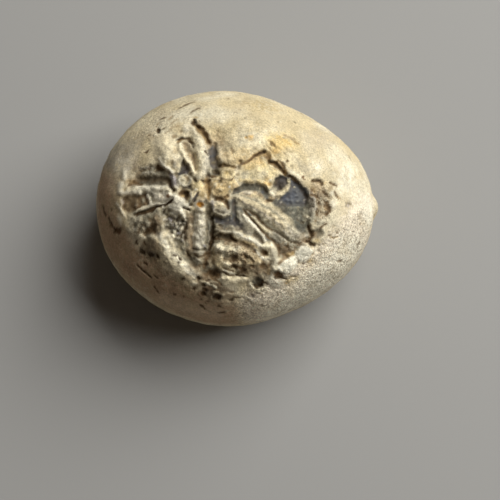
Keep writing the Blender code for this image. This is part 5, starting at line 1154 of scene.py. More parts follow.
    (line(1.15, (5.6, -7.6, 0.7), (6.5, -7.6), (6.9, -8.8), (7.3, -10), (7.1, -11.2, 0.8)), PALE, 1.5, 0.12),
    (spot(5.4, -8.8, 0.8, 0.6, -42), PITCH, 1.6, -0.3),
    (spot(4, -14.2, 1.35, 1.2), PEAT, 2, -0.15),
    (spot(3.8, -13.8, 0.6, 0.5), OLIVE, 1.2),
    (line(0.42, (3.3, -14.7, 0.7), (4.1, -15.1, 1.1), (4.9, -14.6), (5.1, -13.9, 0.7)), PITCH, 2.2, -0.12),
    (line(1.3, (0.6, 1.6), (3, 0.6), (5.4, -0.8), (7.8, -2.4), (10, -4)), ASH, 0.42),
    (line(1.1, (1, 1.6), (3, 0.7), (5, -0.5), (7, -1.8), (9, -3.4)), CREAM, 1.2, -0.06),
    (line(0.3, (1, 2.2), (3.2, 1.4), (5.2, 0.3), (7.2, -1), (9.2, -2.7)), DRAB, 1.1),
    (line(0.3, (1.2, 0.9), (3, 0), (5, -1.2), (7, -2.5), (8.6, -3.8)), TAUPE, 1.1),
    # broad faint washes: honey, chalk and butter over the skin; pitch as painted shade in the deep ground,
    # white on the lower right and milk on the upper left as painted light
    (spot(2, 10, 5, 3.4, 20), STRAW, 0.3),
    (spot(21.5, 6, 5, 7, 10), CHALK, 0.6),
    (spot(-22, 9, 4.5, 8, -20), ASH, 0.5),
    (spot(2, 9, 8, 3.2, 10), HONEY, 0.7),
    (spot(-4, 15, 5, 3.5, 10), BUTTER, 0.6),
    (spot(-21, 1, 3.6, 4), UMBER, 0.5),
    # pitch washes: painted shade in the deep ground of the star
    (spot(-15.5, -3.6, 3.2, 2.4, -15), PITCH, 0.5),
    (spot(-16, -7.6, 2.6, 2, -30), PITCH, 0.4),
    (spot(-3.8, -1.8, 2.4, 4), PITCH, 0.45),
    (spot(0.6, -3.6, 2, 2.2), PITCH, 0.4),
    (spot(-3.6, -15.6, 3.2, 2.4, 20), PITCH, 0.5),
    (spot(-7.4, -12, 2, 2.6), PITCH, 0.3),
    (spot(8.4, 4.4, 2.6, 2), PITCH, 0.4),
    (spot(8.8, -8.4, 2.6, 2.2), PITCH, 0.4),
    # white over the lower right and milk over the upper left of the skin: painted light
    (line(5.5, (9, -21.5), (13.5, -18), (18, -14), (22, -9)), WHITE, 1.5),
    (spot(-18.5, 17, 5.5, 4, 40), MILK, 0.9),
    # darker ground in the hollows of the star, with a few small lumps pale against it
    (spot(-4.8, -3.8, 1, 2.4), PEAT, 1.3, -0.08),
    (spot(-2.6, -2.8, 1.8, 0.8), SLATE, 1.2),
    (spot(-16.6, -2.4, 2, 1.1), OLIVE, 1.3),
    (line(0.6, (-19.3, -1.45, 0.5), (-18.2, -1.15, 0.9), (-17, -0.9, 1.1), (-16.2, -0.6), (-15.4, -0.15, 0.8),
          (-14.4, 0.15, 0.6)), PITCH, 2.2, -0.2),
    (spot(-16.4, -4.2, 1, 0.7, 35), BROWN, 1.6, -0.1),
    (spot(-12.6, -1.3, 0.55, 0.42, -30), PALE, 1.5, 0.14),
    (spot(-11.5, -1.7, 0.55, 0.42, -30), WHITE, 1.4, 0.14),
    (spot(-10.6, -2.4, 0.5, 0.4, -30), ASH, 1.4, 0.14),
    (spot(-13.3, -2.4, 0.5, 0.4, -30), ASH, 1.3, 0.14),
    (spot(-12.3, -2.5, 0.5, 0.4, -30), MAUVE, 1.4, 0.14),
    (spot(-11.3, -3, 0.5, 0.4, -30), PALE, 1.3, 0.14),
    (spot(-15.8, -7.6, 2.6, 1.8, -30), UMBER, 1.1),
    (spot(-8, -12.2, 2.2, 2, -40), UMBER),
    (spot(-4, -16.4, 3, 2.4), UMBER, 0.8),
    (spot(-8.4, 0.9, 0.6, 1.1, -10), OLIVE, 1.3),
    (spot(-5, -0.4, 0.8, 1.6), OLIVE, 1.4),
    (line(1.1, (-18, 5.1), (-15.6, 5), (-13.2, 5.1)), OLIVE, 1.3),
    (spot(-20, 0.4, 2, 1.5), BROWN),
    (spot(-12.3, 4.6, 0.9, 1.3), SLATE, 1.1),
    (spot(8.8, 0.4, 1.6, 0.8, -35), FLINT),
    (spot(0.2, -3.4, 1.6, 1.3), SLATE, 0.8),
    (spot(8.8, -7.6, 1.8, 1.1, -40), UMBER, 0.8),
    (spot(-7, 15, 1.2, 1.2, -40), BROWN, 0.5),
    # soft painted shade in the broad hollows
    (spot(-16.4, -4.2, 2.8, 2.6), PITCH, 0.55),
    (spot(-16, -8.2, 3, 2.2, -30), PITCH, 0.32),
    (spot(-20.2, 0.2, 2.4, 2), PITCH, 0.4),
    (spot(-20.2, -4, 2.2, 2.4), PITCH, 0.28),
    (line(1.8, (-18.4, 5.2), (-15.6, 5), (-12.2, 4.6)), PITCH, 0.38),
    (spot(-8.4, 0.2, 1.6, 2.2), PITCH, 0.3),
    (spot(-4.6, -1, 1.6, 2.6), PITCH, 0.38),
    (spot(-4.2, -4.6, 2.2, 2.6), PITCH, 0.5),
    (spot(-0.4, -3.8, 2.4, 2.2), PITCH, 0.34),
    (spot(8, 4.2, 2.2, 1.8), PITCH, 0.3),
    (spot(8.4, 0, 2.6, 2, -35), PITCH, 0.34),
    (spot(8.2, -4.6, 2.4, 1.6, -40), PITCH, 0.26),
    (spot(8.2, -7.8, 2.4, 2), PITCH, 0.32),
    (spot(-8.2, -12, 2.4, 2.4, -40), PITCH, 0.32),
    (spot(-4.2, -16, 3, 2.4), PITCH, 0.36),
    (spot(4.4, -8.4, 1.6, 1.2), PITCH, 0.22),
    (spot(1, -12, 2, 1.2), PITCH, 0.25),
    # small stains and worn whites on the plates, the ribs and the splits, with painted light and shade in the
    # dished plates and painted glints on the dark flint
    (spot(-14.9, -2.8, 1.3, 2), UMBER, 1.3),
    (spot(-5.3, 4.7, 0.8, 0.9), BROWN, 0.9),
    # cream on the lower left, brown on the upper right, pale and fawn in the left plate: painted light and
    # shade inside the dished plates
    (spot(-3.3, 0.1, 1.1, 1), CREAM, 1.2),
    (spot(-2.2, 0.9, 0.7, 0.6, -40), BROWN, 0.9),
    (spot(-9.9, 4.9, 1.1, 1.05), PALE),
    (spot(-9.3, 5.4, 0.7, 0.6), FAWN, 0.8),
    (spot(-12, 5.4, 0.8, 1.7), MAUVE, 0.9),
    (line(0.55, (-7.8, 15.6), (-6.7, 14.8), (-6, 13.6), (-5.3, 12.4)), TOFFEE, 0.9),
    (line(0.45, (-11, 12.4), (-10.2, 13.1), (-9.2, 13.1), (-8.5, 12.3)), TOFFEE, 0.9),
    (line(0.8, (3.8, 9.6), (5, 10.4), (6.2, 9.4)), AMBER, 0.8),
    (line(0.75, (6.6, 8.6), (8, 8), (9.2, 6.6)), AMBER, 0.8),
    (spot(-15.4, -9.7, 1.3, 0.8, -30), RUST, 0.5),
    (spot(-17.9, -8.5, 1.15, 0.7, -35), PITCH, 1.4),
    (spot(-16.1, -8.9, 1, 0.75, 5), PITCH, 1.4),
    (spot(-14.8, -9.2, 0.6, 0.95, 10), PITCH, 1.2),
    (spot(8.1, -12.9, 1.3, 0.8, -25), RUST, 0.9),
    (spot(-5.6, -15.2, 1.6, 1.4), RUST, 0.5),
    (spot(5.9, -9.9, 0.8, 1), PALE, 0.9),
    (line(0.5, (0.9, 8.1), (2.3, 8.5), (3.4, 9.4), (4.4, 10), (5.2, 10.3)), BROWN, 1.1),
    (line(0.5, (5.6, 9.6), (6.5, 8.7), (8, 8), (9, 6.8)), BROWN, 0.9),
    (spot(15.5, 4.9, 0.7, 0.32, -25), PITCH, 1.6),
    (spot(16.9, 2.4, 0.32, 0.6, 20), PITCH, 1.6),
    (spot(15.3, 1.9, 0.6, 0.32, -20), BROWN, 1.4),
    (spot(17.2, 0.7, 0.32, 0.7), BROWN, 1.4),
    (spot(17, -1.1, 0.36, 0.5), BROWN, 1.4),
    (spot(15.4, -1.5, 0.36, 0.36), BROWN, 1.3),
    (spot(12.7, 5.5, 0.4, 0.3), BROWN),
    # white specks on the dark flint: painted glints
    (spot(13, 1.3, 0.2, 0.34), WHITE, 0.9),
    (spot(8.5, 0.8, 0.3, 0.24), WHITE, 0.7),
    (spot(-24.2, -3.4, 0.9, 0.6, -40), RUST),
    # darker mouths of the splits and of the pits in the skin
    (spot(-7.8, 16.3, 1, 0.6, -35), PITCH, 1.6),
    (line(0.6, (-7.4, 16), (-6.4, 15.1), (-5.6, 13.7), (-5.2, 12.6)), BROWN, 1.3),
    (line(0.42, (-11, 12.8), (-10.3, 13.4), (-9.3, 13.1), (-8.7, 12.3)), PITCH, 1.1),
    (spot(-14.8, 14.7, 0.75, 0.5, 20), PITCH, 1.4),
    (spot(5, 10.3, 1, 0.5, 10), PITCH, 1.5),
    (line(0.45, (6.4, 8.9), (7.6, 8.3), (8.8, 7.1)), PITCH, 1.1),
    (spot(6.7, 11.9, 0.65, 0.35, -40), BROWN, 1.2),
    (spot(2.8, 13.2, 0.9, 0.7), SAFFRON, 0.9),
    (spot(8.4, 12, 2.4, 1.8, -30), OCHRE, 0.6),
    (spot(-17.9, -8.3, 0.95, 0.6, -45), PITCH, 1.7),
    (spot(-16.4, -8.8, 0.9, 0.6, 10), PITCH, 1.7),
    (spot(-15.1, -9, 0.6, 0.8, 10), PITCH, 1.5),
    (spot(-22.8, -4.5, 0.9, 0.6, -20), RUST, 1.3),
    (spot(-18.7, -5, 0.4, 0.7, -20), BROWN, 1.2),
    (spot(-17.4, -6.8, 0.7, 0.4, -30), BROWN, 1.1),
    (spot(-19.2, -6.7, 0.6, 0.35, 20), BROWN, 1.1),
    (spot(-7.4, -13.7, 0.9, 0.6), PITCH, 1.3),
    (spot(-6.3, -14.7, 0.7, 0.45, -30), PITCH, 1.2),
    (spot(-6.6, -16.5, 0.9, 0.8, 20), RUST, 1.5),
    (spot(-3.8, -17.2, 1, 0.75, 15), PITCH, 1.6),
    (spot(-0.9, -17.6, 0.6, 0.4, -15), PITCH, 1.3),
    (spot(-6.6, -19, 0.5, 0.75, 30), BROWN, 1.2),
    (spot(-3.3, -18.8, 0.7, 0.35, 20), BROWN, 1.2),
    (spot(-11.7, -16.5, 0.5, 0.35), BROWN, 1.2),
    (spot(-10.3, -13.6, 0.5, 0.45), BROWN, 1.1),
    (line(1.1, (-14.4, -5.4), (-12.6, -8.2), (-10.4, -10.6), (-7.8, -12.8)), CHALK, 0.5),
)

# the order in which the marks are laid
REGIONS = (SKIN_TINTS, FIELDS, GROUND, CENTRE_PLATES, UPPER_RAY, LEFT_RAY, ROUGH_GROUND, LOWER_RAY,
           CRUSTY_MOUND, UPPER_SKIN, RIGHT_RAY, DARK_WINDOW, LEDGE, GLAZES, RIGHT_CRUST, LOWER_FLANK)

# areas and how much of something each gets: crumbly lumps, mottling, sandy grain
CRUSTY = (
    (spot(1, -9.6, 8, 5), 1),
    (spot(-17.2, 6.8, 4, 2.4), 0.7),
    (spot(-17.6, -3.8, 4.5, 3.4), 0.9),
    (spot(-11.6, -3.4, 2.6, 2.6), 0.8),
    (spot(10.4, -7, 3.4, 2.8), 1),
    (spot(16.4, 0.8, 2.8, 5.8), 1.3),
    (spot(12.4, -2.4, 2.6, 2), 0.6),
    (spot(-3, 3.6, 4.2, 3.4), 0.25),
    (line(2.2, (-17.5, -9), (-13, -12.5), (-9, -15.5), (-3, -17.5)), 0.35),
)
STAR = (
    (spot(-2, -1, 26, 22), 2),
)
SANDY = (
    (line(7, (4, -19), (12, -15.5), (20, -10.5), (25, -5)), 1.8),
    (spot(-16, 16, 9, 6, 35), 0.6),
)

# pits round the sides and underside: direction from the middle, radius, depth
SIDE_PITS = (
    ((-0.75, -0.62, -0.22), 1.0, 0.50),
    ((-0.35, -0.90, -0.26), 0.8, 0.45),
    ((0.42, -0.88, -0.22), 0.9, 0.40),
    ((0.86, 0.48, -0.16), 1.0, 0.45),
    ((0.30, 0.93, -0.20), 0.9, 0.50),
    ((-0.44, 0.86, -0.26), 1.1, 0.50),
    ((-0.90, 0.36, -0.24), 0.8, 0.45),
    ((0.72, -0.52, -0.45), 1.2, 0.50),
    ((-0.72, 0.50, -0.48), 1.1, 0.45),
)

# broad clouds of colour in the skin: spacing, noise offset, middle, swing, most, colour
CLOUDS = (
    (6.0, 0.0, 0.5, 0.5, 0.8, PALE),
    (4.2, 5.0, 0.3, 0.6, 0.6, BUTTER),
)

# how the marks wander off their places: spacing, depth, noise offsets across and up
WAVER = (1.3, 0.13, 11.0, 23.0)
TREMBLE = (0.7, 0.05, 17.0, 29.0)
RAGGED_SPACING = 0.6     # patches in which a mark comes out stronger or weaker
RAGGED_SHARE = 0.2       # of its lift
RAGGED_LIFT = 0.25       # the most lift that counts for this
RAGGED_COLOUR = 0.5      # of its colour

CRUMB_HEIGHT = 0.34
CRUMB_SPACING = 1.6
MOTTLE_HEIGHT = 0.06
MOTTLE_SPACING = 0.8
MOTTLE_SHADE = 0.20
SHADE_SPACING = 1.7      # broader patches of light and dark on the star
SHADE_DEPTH = 0.16
GLOSS_CALM = 0.8         # share of the crumbs that glossy flint is spared

SWELL_HEIGHT = 0.05
SWELL_SPACING = 2.2
SAND_HEIGHT = 0.045
SAND_SPACING = 0.55
SIDE_SAND = 0.55         # sandy grain on the sides
LOBES = 0.20             # height of the skin's broadest swells
LOBE_SPACING = 9.0
LOBE_CALM = 0.8          # share of them that upright sides are spared
PINHOLES = 150           # small holes scattered over the sides
PINHOLE_SEED = 11
PINHOLE_SIZE = 0.7
PINHOLE_DEPTH = 0.35
PINHOLE_STAIN = 0.75

HOLLOW_ROUNDS = 14         # how many rounds of sharing out judge a hollow, and so how far round a point it reaches
HOLLOW_DEPTH = 0.30        # depth of a hollow that counts in full
HOLLOW_BROWN = (0.45, 0.55)      # strength of the brown in hollows, and its most
HIGH_PALE = (0.30, 0.25)      # strength of the paling of high places, and its most

STAR_WIDENESS = 1.15     # how much wider than high the star's field is
SKIN_START = 15.0        # the scratched skin starts beyond it
SKIN_FULL = 19.0
SKIN_GRAIN = 0.30        # share of the coarse grain inside it
SKIN_RADIUS = 22.0       # where the skin's scratches are at their true size
SCRATCH_LENGTH = 1.6
SCRATCH_WIDTH = 0.30


# -------------------------------------------- shaping

def plan_radius(angle):
    """Radius of the widest belt at an angle, a smooth closed curve through PLAN_RADII."""
    count = len(PLAN_RADII)
    waves = np.fft.rfft(PLAN_RADII) / count
    radius = np.full_like(angle, waves[0].real)
    for order, wave in enumerate(waves[1:], start=1):
        share = 1.0 if 2 * order == count else 2.0
        radius += share * (wave.real * np.cos(order * angle) - wave.imag * np.sin(order * angle))
    return radius


def form_radius(directions):
    """Distance from the middle of the stone to its smooth surface, along each direction."""
    across = np.hypot(directions[:, 0], directions[:, 1])
    angle = np.arctan2(directions[:, 1], directions[:, 0])
    upper = directions[:, 2] > 0.0
    height = np.where(upper, RISE, FALL)
    power = np.where(upper, UPPER_SQUARENESS, LOWER_SQUARENESS)
    whole = (across / plan_radius(angle)) ** power + (np.abs(directions[:, 2]) / height) ** power
    return whole ** (-1.0 / power)


def rolling(points, spacing, away=0.0):
    """Gentle noise between about -1 and 1, one swell in each spacing."""
    return np.array([noise.noise(Vector(point / spacing + away)) for point in points]) * 2.0


def crumbs(points, spacing):
    """Rounded lumps of about a spacing across, with sharp creases between them."""
    lumps = np.abs(rolling(points, spacing, away=7.0))
    return lumps + 0.5 * np.abs(rolling(points, 0.45 * spacing, away=3.0)) - 0.6


def wander(points, spacing, depth, *offsets):
    """How far the marks stray at each point, across and up the board."""
    return depth * np.stack([rolling(points, spacing, offset) for offset in offsets], axis=1)


def read_rows(mesh, field):
    """A three-number field of the mesh's points, as rows."""
    rows = np.empty(len(mesh.vertices) * 3)
    mesh.vertices.foreach_get(field, rows)
    return rows.reshape(-1, 3)


def write_points(mesh, points):
    """Move the mesh's points to new places."""
    mesh.vertices.foreach_set("co", points.ravel())
    mesh.update()


def even_out(mesh, values, rounds):
    """Values shared out among neighbouring points, round after round."""
    pairs = np.empty(len(mesh.edges) * 2, dtype=np.int64)
    mesh.edges.foreach_get("vertices", pairs)
    first, second = pairs[0::2], pairs[1::2]
    count = len(values)
    neighbours = np.bincount(pairs, minlength=count)
    for _ in range(rounds):
        around = np.bincount(first, values[second], count) + np.bincount(second, values[first], count)
        values = 0.5 * (values + around / neighbours)
    return values


def starting_ball():
    """A finely cut cube, drawn out to a ball whose points crowd together under the star."""
    bpy.ops.object.select_all(action="DESELECT")
    bpy.ops.mesh.primitive_cube_add(size=2.0)
    ball = bpy.context.object
    ball.name = "urchin_stone"
    bpy.ops.object.mode_set(mode="EDIT")
    bpy.ops.mesh.select_all(action="SELECT")
    bpy.ops.mesh.subdivide(number_cuts=CUTS)
    bpy.ops.object.mode_set(mode="OBJECT")
    spread = np.tan(read_rows(ball.data, "co") * math.pi / 4.0)
    directions = spread / np.linalg.norm(spread, axis=1)[:, None] + CROWDING * BOARD_AXIS
    return ball, directions / np.linalg.norm(directions, axis=1)[:, None]


class Carving:
    """Relief and colour building up on the stone as marks are made."""

    def __init__(self, points, normals):
        from_middle = points - MIDDLE
        board = np.stack((from_middle @ BOARD_RIGHT, from_middle @ BOARD_UP), axis=1)
        self.board = board + wander(points, *WAVER) + wander(points, *TREMBLE)
        self.ragged = rolling(points, RAGGED_SPACING, away=41.0)
        self.facing = smooth_step(normals @ BOARD_AXIS, FACING_START, FACING_FULL)
        self.height = np.zeros(len(points))
        self.tone = np.tile(CREAM, (len(points), 1))

    def near(self, low, high):
        """The points inside a shape's box on the board."""
        return np.flatnonzero(np.all((self.board > low) & (self.board < high), axis=1))

    def mark(self, shape, paint=None, strength=1.0, lift=0.0):
        """Raise or sink the stone under a shape, and colour it there."""
        low, high, share = shape
        near = self.near(low, high)
        cover = share(self.board[near]) * self.facing[near]
        ragged = self.ragged[near]
        self.height[near] += cover * (lift + RAGGED_SHARE * ragged * min(abs(lift), RAGGED_LIFT))
        if paint:
            cover = np.clip(strength * cover * (1.0 + RAGGED_COLOUR * ragged), 0.0, 1.0)
            self.wash(near, cover, paint)

    def wash(self, near, cover, paint):
        """Lay a colour over some points, as strongly as cover says."""
        self.tone[near] += cover[:, None] * (np.array(paint) - self.tone[near])

    def amount(self, areas):
        """The summed shares of some shapes, each at its strength, between 0 and 1."""
        result = np.zeros(len(self.board))
        for (low, high, share), strength in areas:
            near = self.near(low, high)
            result[near] += strength * share(self.board[near])
        return np.clip(result, 0.0, 1.0) * self.facing


def lay_marks(points, normals):
    """The smooth stone with clouds of colour in its skin and every mark over them."""
    carving = Carving(points, normals)
    everywhere = np.arange(len(points))
    for spacing, offset, middle, swing, most, paint in CLOUDS:
        cover = np.clip(middle + swing * rolling(points, spacing, offset), 0.0, most)
        carving.wash(everywhere, cover, paint)
    for shape, lift in BROAD_FORMS:
        carving.mark(shape, lift=lift)
    for region in REGIONS:
        for mark in region:
            carving.mark(*mark)
    return carving


def side_relief(points):
    """The nose at the right end and the pits round the sides."""
    middle, half_lengths, rise = NOSE
    height = rise * dome(np.linalg.norm((points - middle) / half_lengths, axis=1))
    for direction, radius, depth in SIDE_PITS:
        aim = np.array(direction) / np.linalg.norm(direction)
        foot = MIDDLE + aim * form_radius(aim[None, :])[0]
        height -= depth * dome(np.linalg.norm(points - foot, axis=1) / radius)
    return height


def pinholes(points, facing):
    """Share of small holes scattered over the sides, away from the star."""
    chance = np.random.default_rng(PINHOLE_SEED)
    hollow = np.zeros(len(points))
    for _ in range(PINHOLES):
        aim = chance.normal(size=3)
        aim /= np.linalg.norm(aim)
        foot = MIDDLE + aim * form_radius(aim[None, :])[0]
        tallness = 0.4 + 0.5 * chance.random()
        size = np.array((PINHOLE_SIZE, PINHOLE_SIZE, tallness)) * (0.5 + 0.7 * chance.random())
        hollow = np.maximum(hollow, dome(np.linalg.norm((points - foot) / size, axis=1)))
    return hollow * (1.0 - facing)


def age(carving, points, mottle, hollow, sunkenness):
    """Brown in the hollows, paler high places and a mottled shade, over all the marks."""
    everywhere = np.arange(len(points))
    carving.wash(everywhere, PINHOLE_STAIN * hollow, BROWN)
    carving.wash(everywhere, np.clip(HOLLOW_BROWN[0] * sunkenness, 0.0, HOLLOW_BROWN[1]), BROWN)
    carving.wash(everywhere, np.clip(-HIGH_PALE[0] * sunkenness, 0.0, HIGH_PALE[1]), PALE)
    swing = MOTTLE_SHADE * mottle + SHADE_DEPTH * rolling(points, SHADE_SPACING, away=31.0)
    shade = 1.0 + carving.amount(STAR) * swing
    carving.tone[:, :3] *= shade[:, None]


def shape_stone():
    """The stone at full detail, with its colours as point attributes."""
    stone, directions = starting_ball()
    points = MIDDLE + directions * form_radius(directions)[:, None]
    write_points(stone.data, points)
    normals = read_rows(stone.data, "normal")
    carving = lay_marks(points, normals)
    crusty = carving.amount(CRUSTY)
    sandy = np.maximum(carving.amount(SANDY), SIDE_SAND * (1.0 - carving.facing))
    hollow = pinholes(points, carving.facing)
    mottle = rolling(points, MOTTLE_SPACING, away=9.0)

    lumps = CRUMB_HEIGHT * crusty * crumbs(points, CRUMB_SPACING)
    lumps += MOTTLE_HEIGHT * carving.amount(STAR) * mottle
    dull = 1.0 - GLOSS_CALM * np.clip(carving.tone[:, 3], 0.0, 1.0)
    height = carving.height + dull * lumps
    skin = SWELL_HEIGHT * rolling(points, SWELL_SPACING, away=2.0)
    skin += SAND_HEIGHT * sandy * rolling(points, SAND_SPACING)
    skin -= PINHOLE_DEPTH * hollow
    # how far each point lies below the level of its neighbours; hollows are browned and high places paled by
    # it
    sunkenness = (even_out(stone.data, height + skin, HOLLOW_ROUNDS) - height - skin) / HOLLOW_DEPTH
    age(carving, points, mottle, hollow, sunkenness)

    skin += side_relief(points)
    calm = 1.0 - LOBE_CALM * (1.0 - np.abs(normals[:, 2]))
    skin += LOBES * calm * rolling(points, LOBE_SPACING)
    points = points + BOARD_AXIS * height[:, None] + normals * skin[:, None]
    points[:, 2] = np.maximum(points[:, 2], 0.0)
    write_points(stone.data, within_cad(points))
    keep_looks(stone.data, carving, sandy, crusty)
    stone.data.shade_smooth()
    return stone


def drift(board):
    """A course that changes slowly round the stone and fast outwards, for the skin's scratches."""
    out = np.maximum(np.linalg.norm(board, axis=1), 1.0)
    return np.column_stack((board / out[:, None] * SKIN_RADIUS / SCRATCH_LENGTH, out / SCRATCH_WIDTH))


def skin_share(board):
    """How much each point belongs to the scratched skin beyond the star."""
    return smooth_step(np.linalg.norm(board / (STAR_WIDENESS, 1.0), axis=1), SKIN_START, SKIN_FULL)


def within_cad(points):
    """The points in metres, drawn in by a hair so that none stands outside the plain stone's box."""
    low, high = (np.array(corner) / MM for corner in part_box(STONE_NODE))
    centre = (low + high) / 2.0
    for axis in range(3):
        foot = 0.0 if axis == 2 else centre[axis]
        reach = np.abs(points[:, axis] - foot).max()
        room = min(high[axis] - foot, foot - low[axis]) if axis < 2 else high[axis]
        points[:, axis] = foot + (points[:, axis] - foot) * min(1.0, room / reach)
    return points * MM


def keep_looks(mesh, carving, sandy, crusty):
    """Keep what the material reads: gloss, grain, skin, the scratches' course and the colour."""
    skin = skin_share(carving.board)
    keep(mesh, "gloss", carving.tone[:, 3])
    keep(mesh, "sandy", sandy)
    keep(mesh, "crusty", crusty)
    keep(mesh, "coarse", np.maximum.reduce((sandy, crusty, SKIN_GRAIN * (1.0 - skin))))
    keep(mesh, "skin", skin)
    keep_rows(mesh, "drift", "FLOAT_VECTOR", "vector", drift(carving.board))
    carving.tone[:, 3] = 1.0
    keep_rows(mesh, "tone", "FLOAT_COLOR", "color", carving.tone)


def keep(mesh, name, values):
    """Keep one number per point under a name, for the material to read."""
    layer = mesh.attributes.new(name, "FLOAT", "POINT")
    layer.data.foreach_set("value", values.astype(np.float32))


def keep_rows(mesh, name, kind, field, rows):
    """Keep one colour or direction per point under a name, for the material to read."""
    layer = mesh.attributes.new(name, kind, "POINT")
    layer.data.foreach_set(field, rows.astype(np.float32).ravel())


# -------------------------------------------- material, grain sizes in millimetres

GRIT_SIZE = 0.34
SHADE_SIZE = 2.4
BUMP_SIZE = 0.5
BUMP_DETAIL = 5.0
BUMP_ROUGHNESS = 0.62
BUMP_DEPTH = 0.30
# soft rises: where they start and end, and what they give there
FINE_GRIT = (0.30, 0.70, 0.82, 1.17)
COARSE_GRIT = (0.30, 0.70, 0.70, 1.36)
BROAD_SHADE = (0.30, 0.70, 0.90, 1.08)
GRIT_BY_GLOSS = (0.1, 0.7, 1.0, 0.12)
BUMP_BY_GLOSS = (0.2, 0.9, 1.0, 0.15)
BUMP_BY_GRAIN = (0.0, 1.0, 0.5, 1.5)
MATTE_ROUGHNESS = 0.86
FLINT_ROUGHNESS = 0.42
SPECULAR = 0.22

# spots and streaks over the colour: grain size, detail, course, the noise where they start and where
# they are full, the kept amount that says where on the stone, strength, colour
SPECKLES = (
    (3.0, 3.0, None, 0.50, 0.64, "skin", 0.30, FAWN),
    (0.55, 2.0, None, 0.54, 0.62, "sandy", 0.55, UMBER),
    (1.0, 2.0, "drift", 0.61, 0.70, "skin", 0.42, UMBER),
    (0.62, 1.0, None, 0.56, 0.63, "crusty", 0.80, BROWN),
)


class Finish:
    """A material being wired up: each call adds one node and gives back its useful socket."""

    def __init__(self, name):
        self.material = bpy.data.materials.new(name)
        self.material.use_nodes = True
        self.tree = self.material.node_tree
        self.shader = self.tree.nodes["Principled BSDF"]
        self.place = self.tree.nodes.new("ShaderNodeTexCoord").outputs["Object"]

    def join(self, source, target):
        """Link a socket to an input, or set the input to a number or colour."""
        if isinstance(source, bpy.types.NodeSocket):
            self.tree.links.new(source, target)
        else:
            target.default_value = source

    def kept(self, name, socket="Fac"):
        """A number or colour kept on the stone's points."""
        node = self.tree.nodes.new("ShaderNodeAttribute")
        node.attribute_name = name
        return node.outputs[socket]

    def grain(self, size_mm, detail=3.0, roughness=0.6, course=None):
        """Fractal noise of a grain size, in the stone's own place or along a kept course."""
        node = self.tree.nodes.new("ShaderNodeTexNoise")
        self.join(self.kept(course, "Vector") if course else self.place, node.inputs["Vector"])
        node.inputs["Scale"].default_value = 1.0 / size_mm if course else 1.0 / (size_mm * MM)
        node.inputs["Detail"].default_value = detail
        node.inputs["Roughness"].default_value = roughness
        return node.outputs["Fac"]

    def times(self, first, second):
        """The product of two values."""
        node = self.tree.nodes.new("ShaderNodeMath")
        node.operation = "MULTIPLY"
        self.join(first, node.inputs[0])
        self.join(second, node.inputs[1])
        return node.outputs[0]

    def span(self, value, low, high, to_low=0.0, to_high=1.0):
        """A soft rise from to_low to to_high while the value goes from low to high."""
        node = self.tree.nodes.new("ShaderNodeMapRange")
        node.interpolation_type = "SMOOTHSTEP"
        self.join(value, node.inputs["Value"])
        limits = {"From Min": low, "From Max": high, "To Min": to_low, "To Max": to_high}
        for socket, number in limits.items():
            node.inputs[socket].default_value = number
        return node.outputs["Result"]

    def blend(self, factor, first, second, kind="MIX"):
        """The second colour mixed into the first, or multiplied with it."""
        node = self.tree.nodes.new("ShaderNodeMixRGB")
        node.blend_type = kind
        for socket, source in zip(("Fac", "Color1", "Color2"), (factor, first, second)):
            self.join(source, node.inputs[socket])
        return node.outputs["Color"]

    def bump(self, height, depth_mm):
        """Fine relief from a height between 0 and 1."""
        node = self.tree.nodes.new("ShaderNodeBump")
        node.inputs["Distance"].default_value = depth_mm * MM
        self.join(height, node.inputs["Height"])
        return node.outputs["Normal"]


def colour(red, green, blue):
    """A solid colour as the sockets take it."""
    return (red, green, blue, 1.0)


def stone_colour(finish, gloss, coarse):
    """The kept colour under grit, broad shade, stains, specks, scratches and pores."""
    tone = finish.kept("tone", "Color")
    grit = finish.grain(GRIT_SIZE)
    fine_grit = finish.span(grit, *FINE_GRIT)
    coarse_grit = finish.span(grit, *COARSE_GRIT)
    gritty = finish.blend(1.0, tone, finish.blend(coarse, fine_grit, coarse_grit), "MULTIPLY")
    tone = finish.blend(finish.span(gloss, *GRIT_BY_GLOSS), tone, gritty)
    broad = finish.span(finish.grain(SHADE_SIZE), *BROAD_SHADE)
    tone = finish.blend(1.0, tone, broad, "MULTIPLY")
    for size_mm, detail, course, start, full, amount, strength, paint in SPECKLES:
        spots = finish.span(finish.grain(size_mm, detail, course=course), start, full)
        cover = finish.times(finish.times(spots, finish.kept(amount)), strength)
        tone = finish.blend(cover, tone, colour(*paint[:3]))
    return tone


def stone_finish():
    """Chalky rind, dull and gritty, that passes into smoother and glossier flint."""
    finish = Finish(SLOT)
    gloss = finish.kept("gloss")
    coarse = finish.kept("coarse")
    finish.join(stone_colour(finish, gloss, coarse), finish.shader.inputs["Base Color"])
    roughness = finish.span(gloss, 0.0, 1.0, MATTE_ROUGHNESS, FLINT_ROUGHNESS)
    finish.join(roughness, finish.shader.inputs["Roughness"])
    finish.shader.inputs["Specular IOR Level"].default_value = SPECULAR
    relief = finish.times(finish.span(gloss, *BUMP_BY_GLOSS), finish.span(coarse, *BUMP_BY_GRAIN))
    height = finish.times(finish.grain(BUMP_SIZE, BUMP_DETAIL, BUMP_ROUGHNESS), relief)
    finish.join(finish.bump(height, BUMP_DEPTH), finish.shader.inputs["Normal"])
    return finish.material


# -------------------------------------------- stage

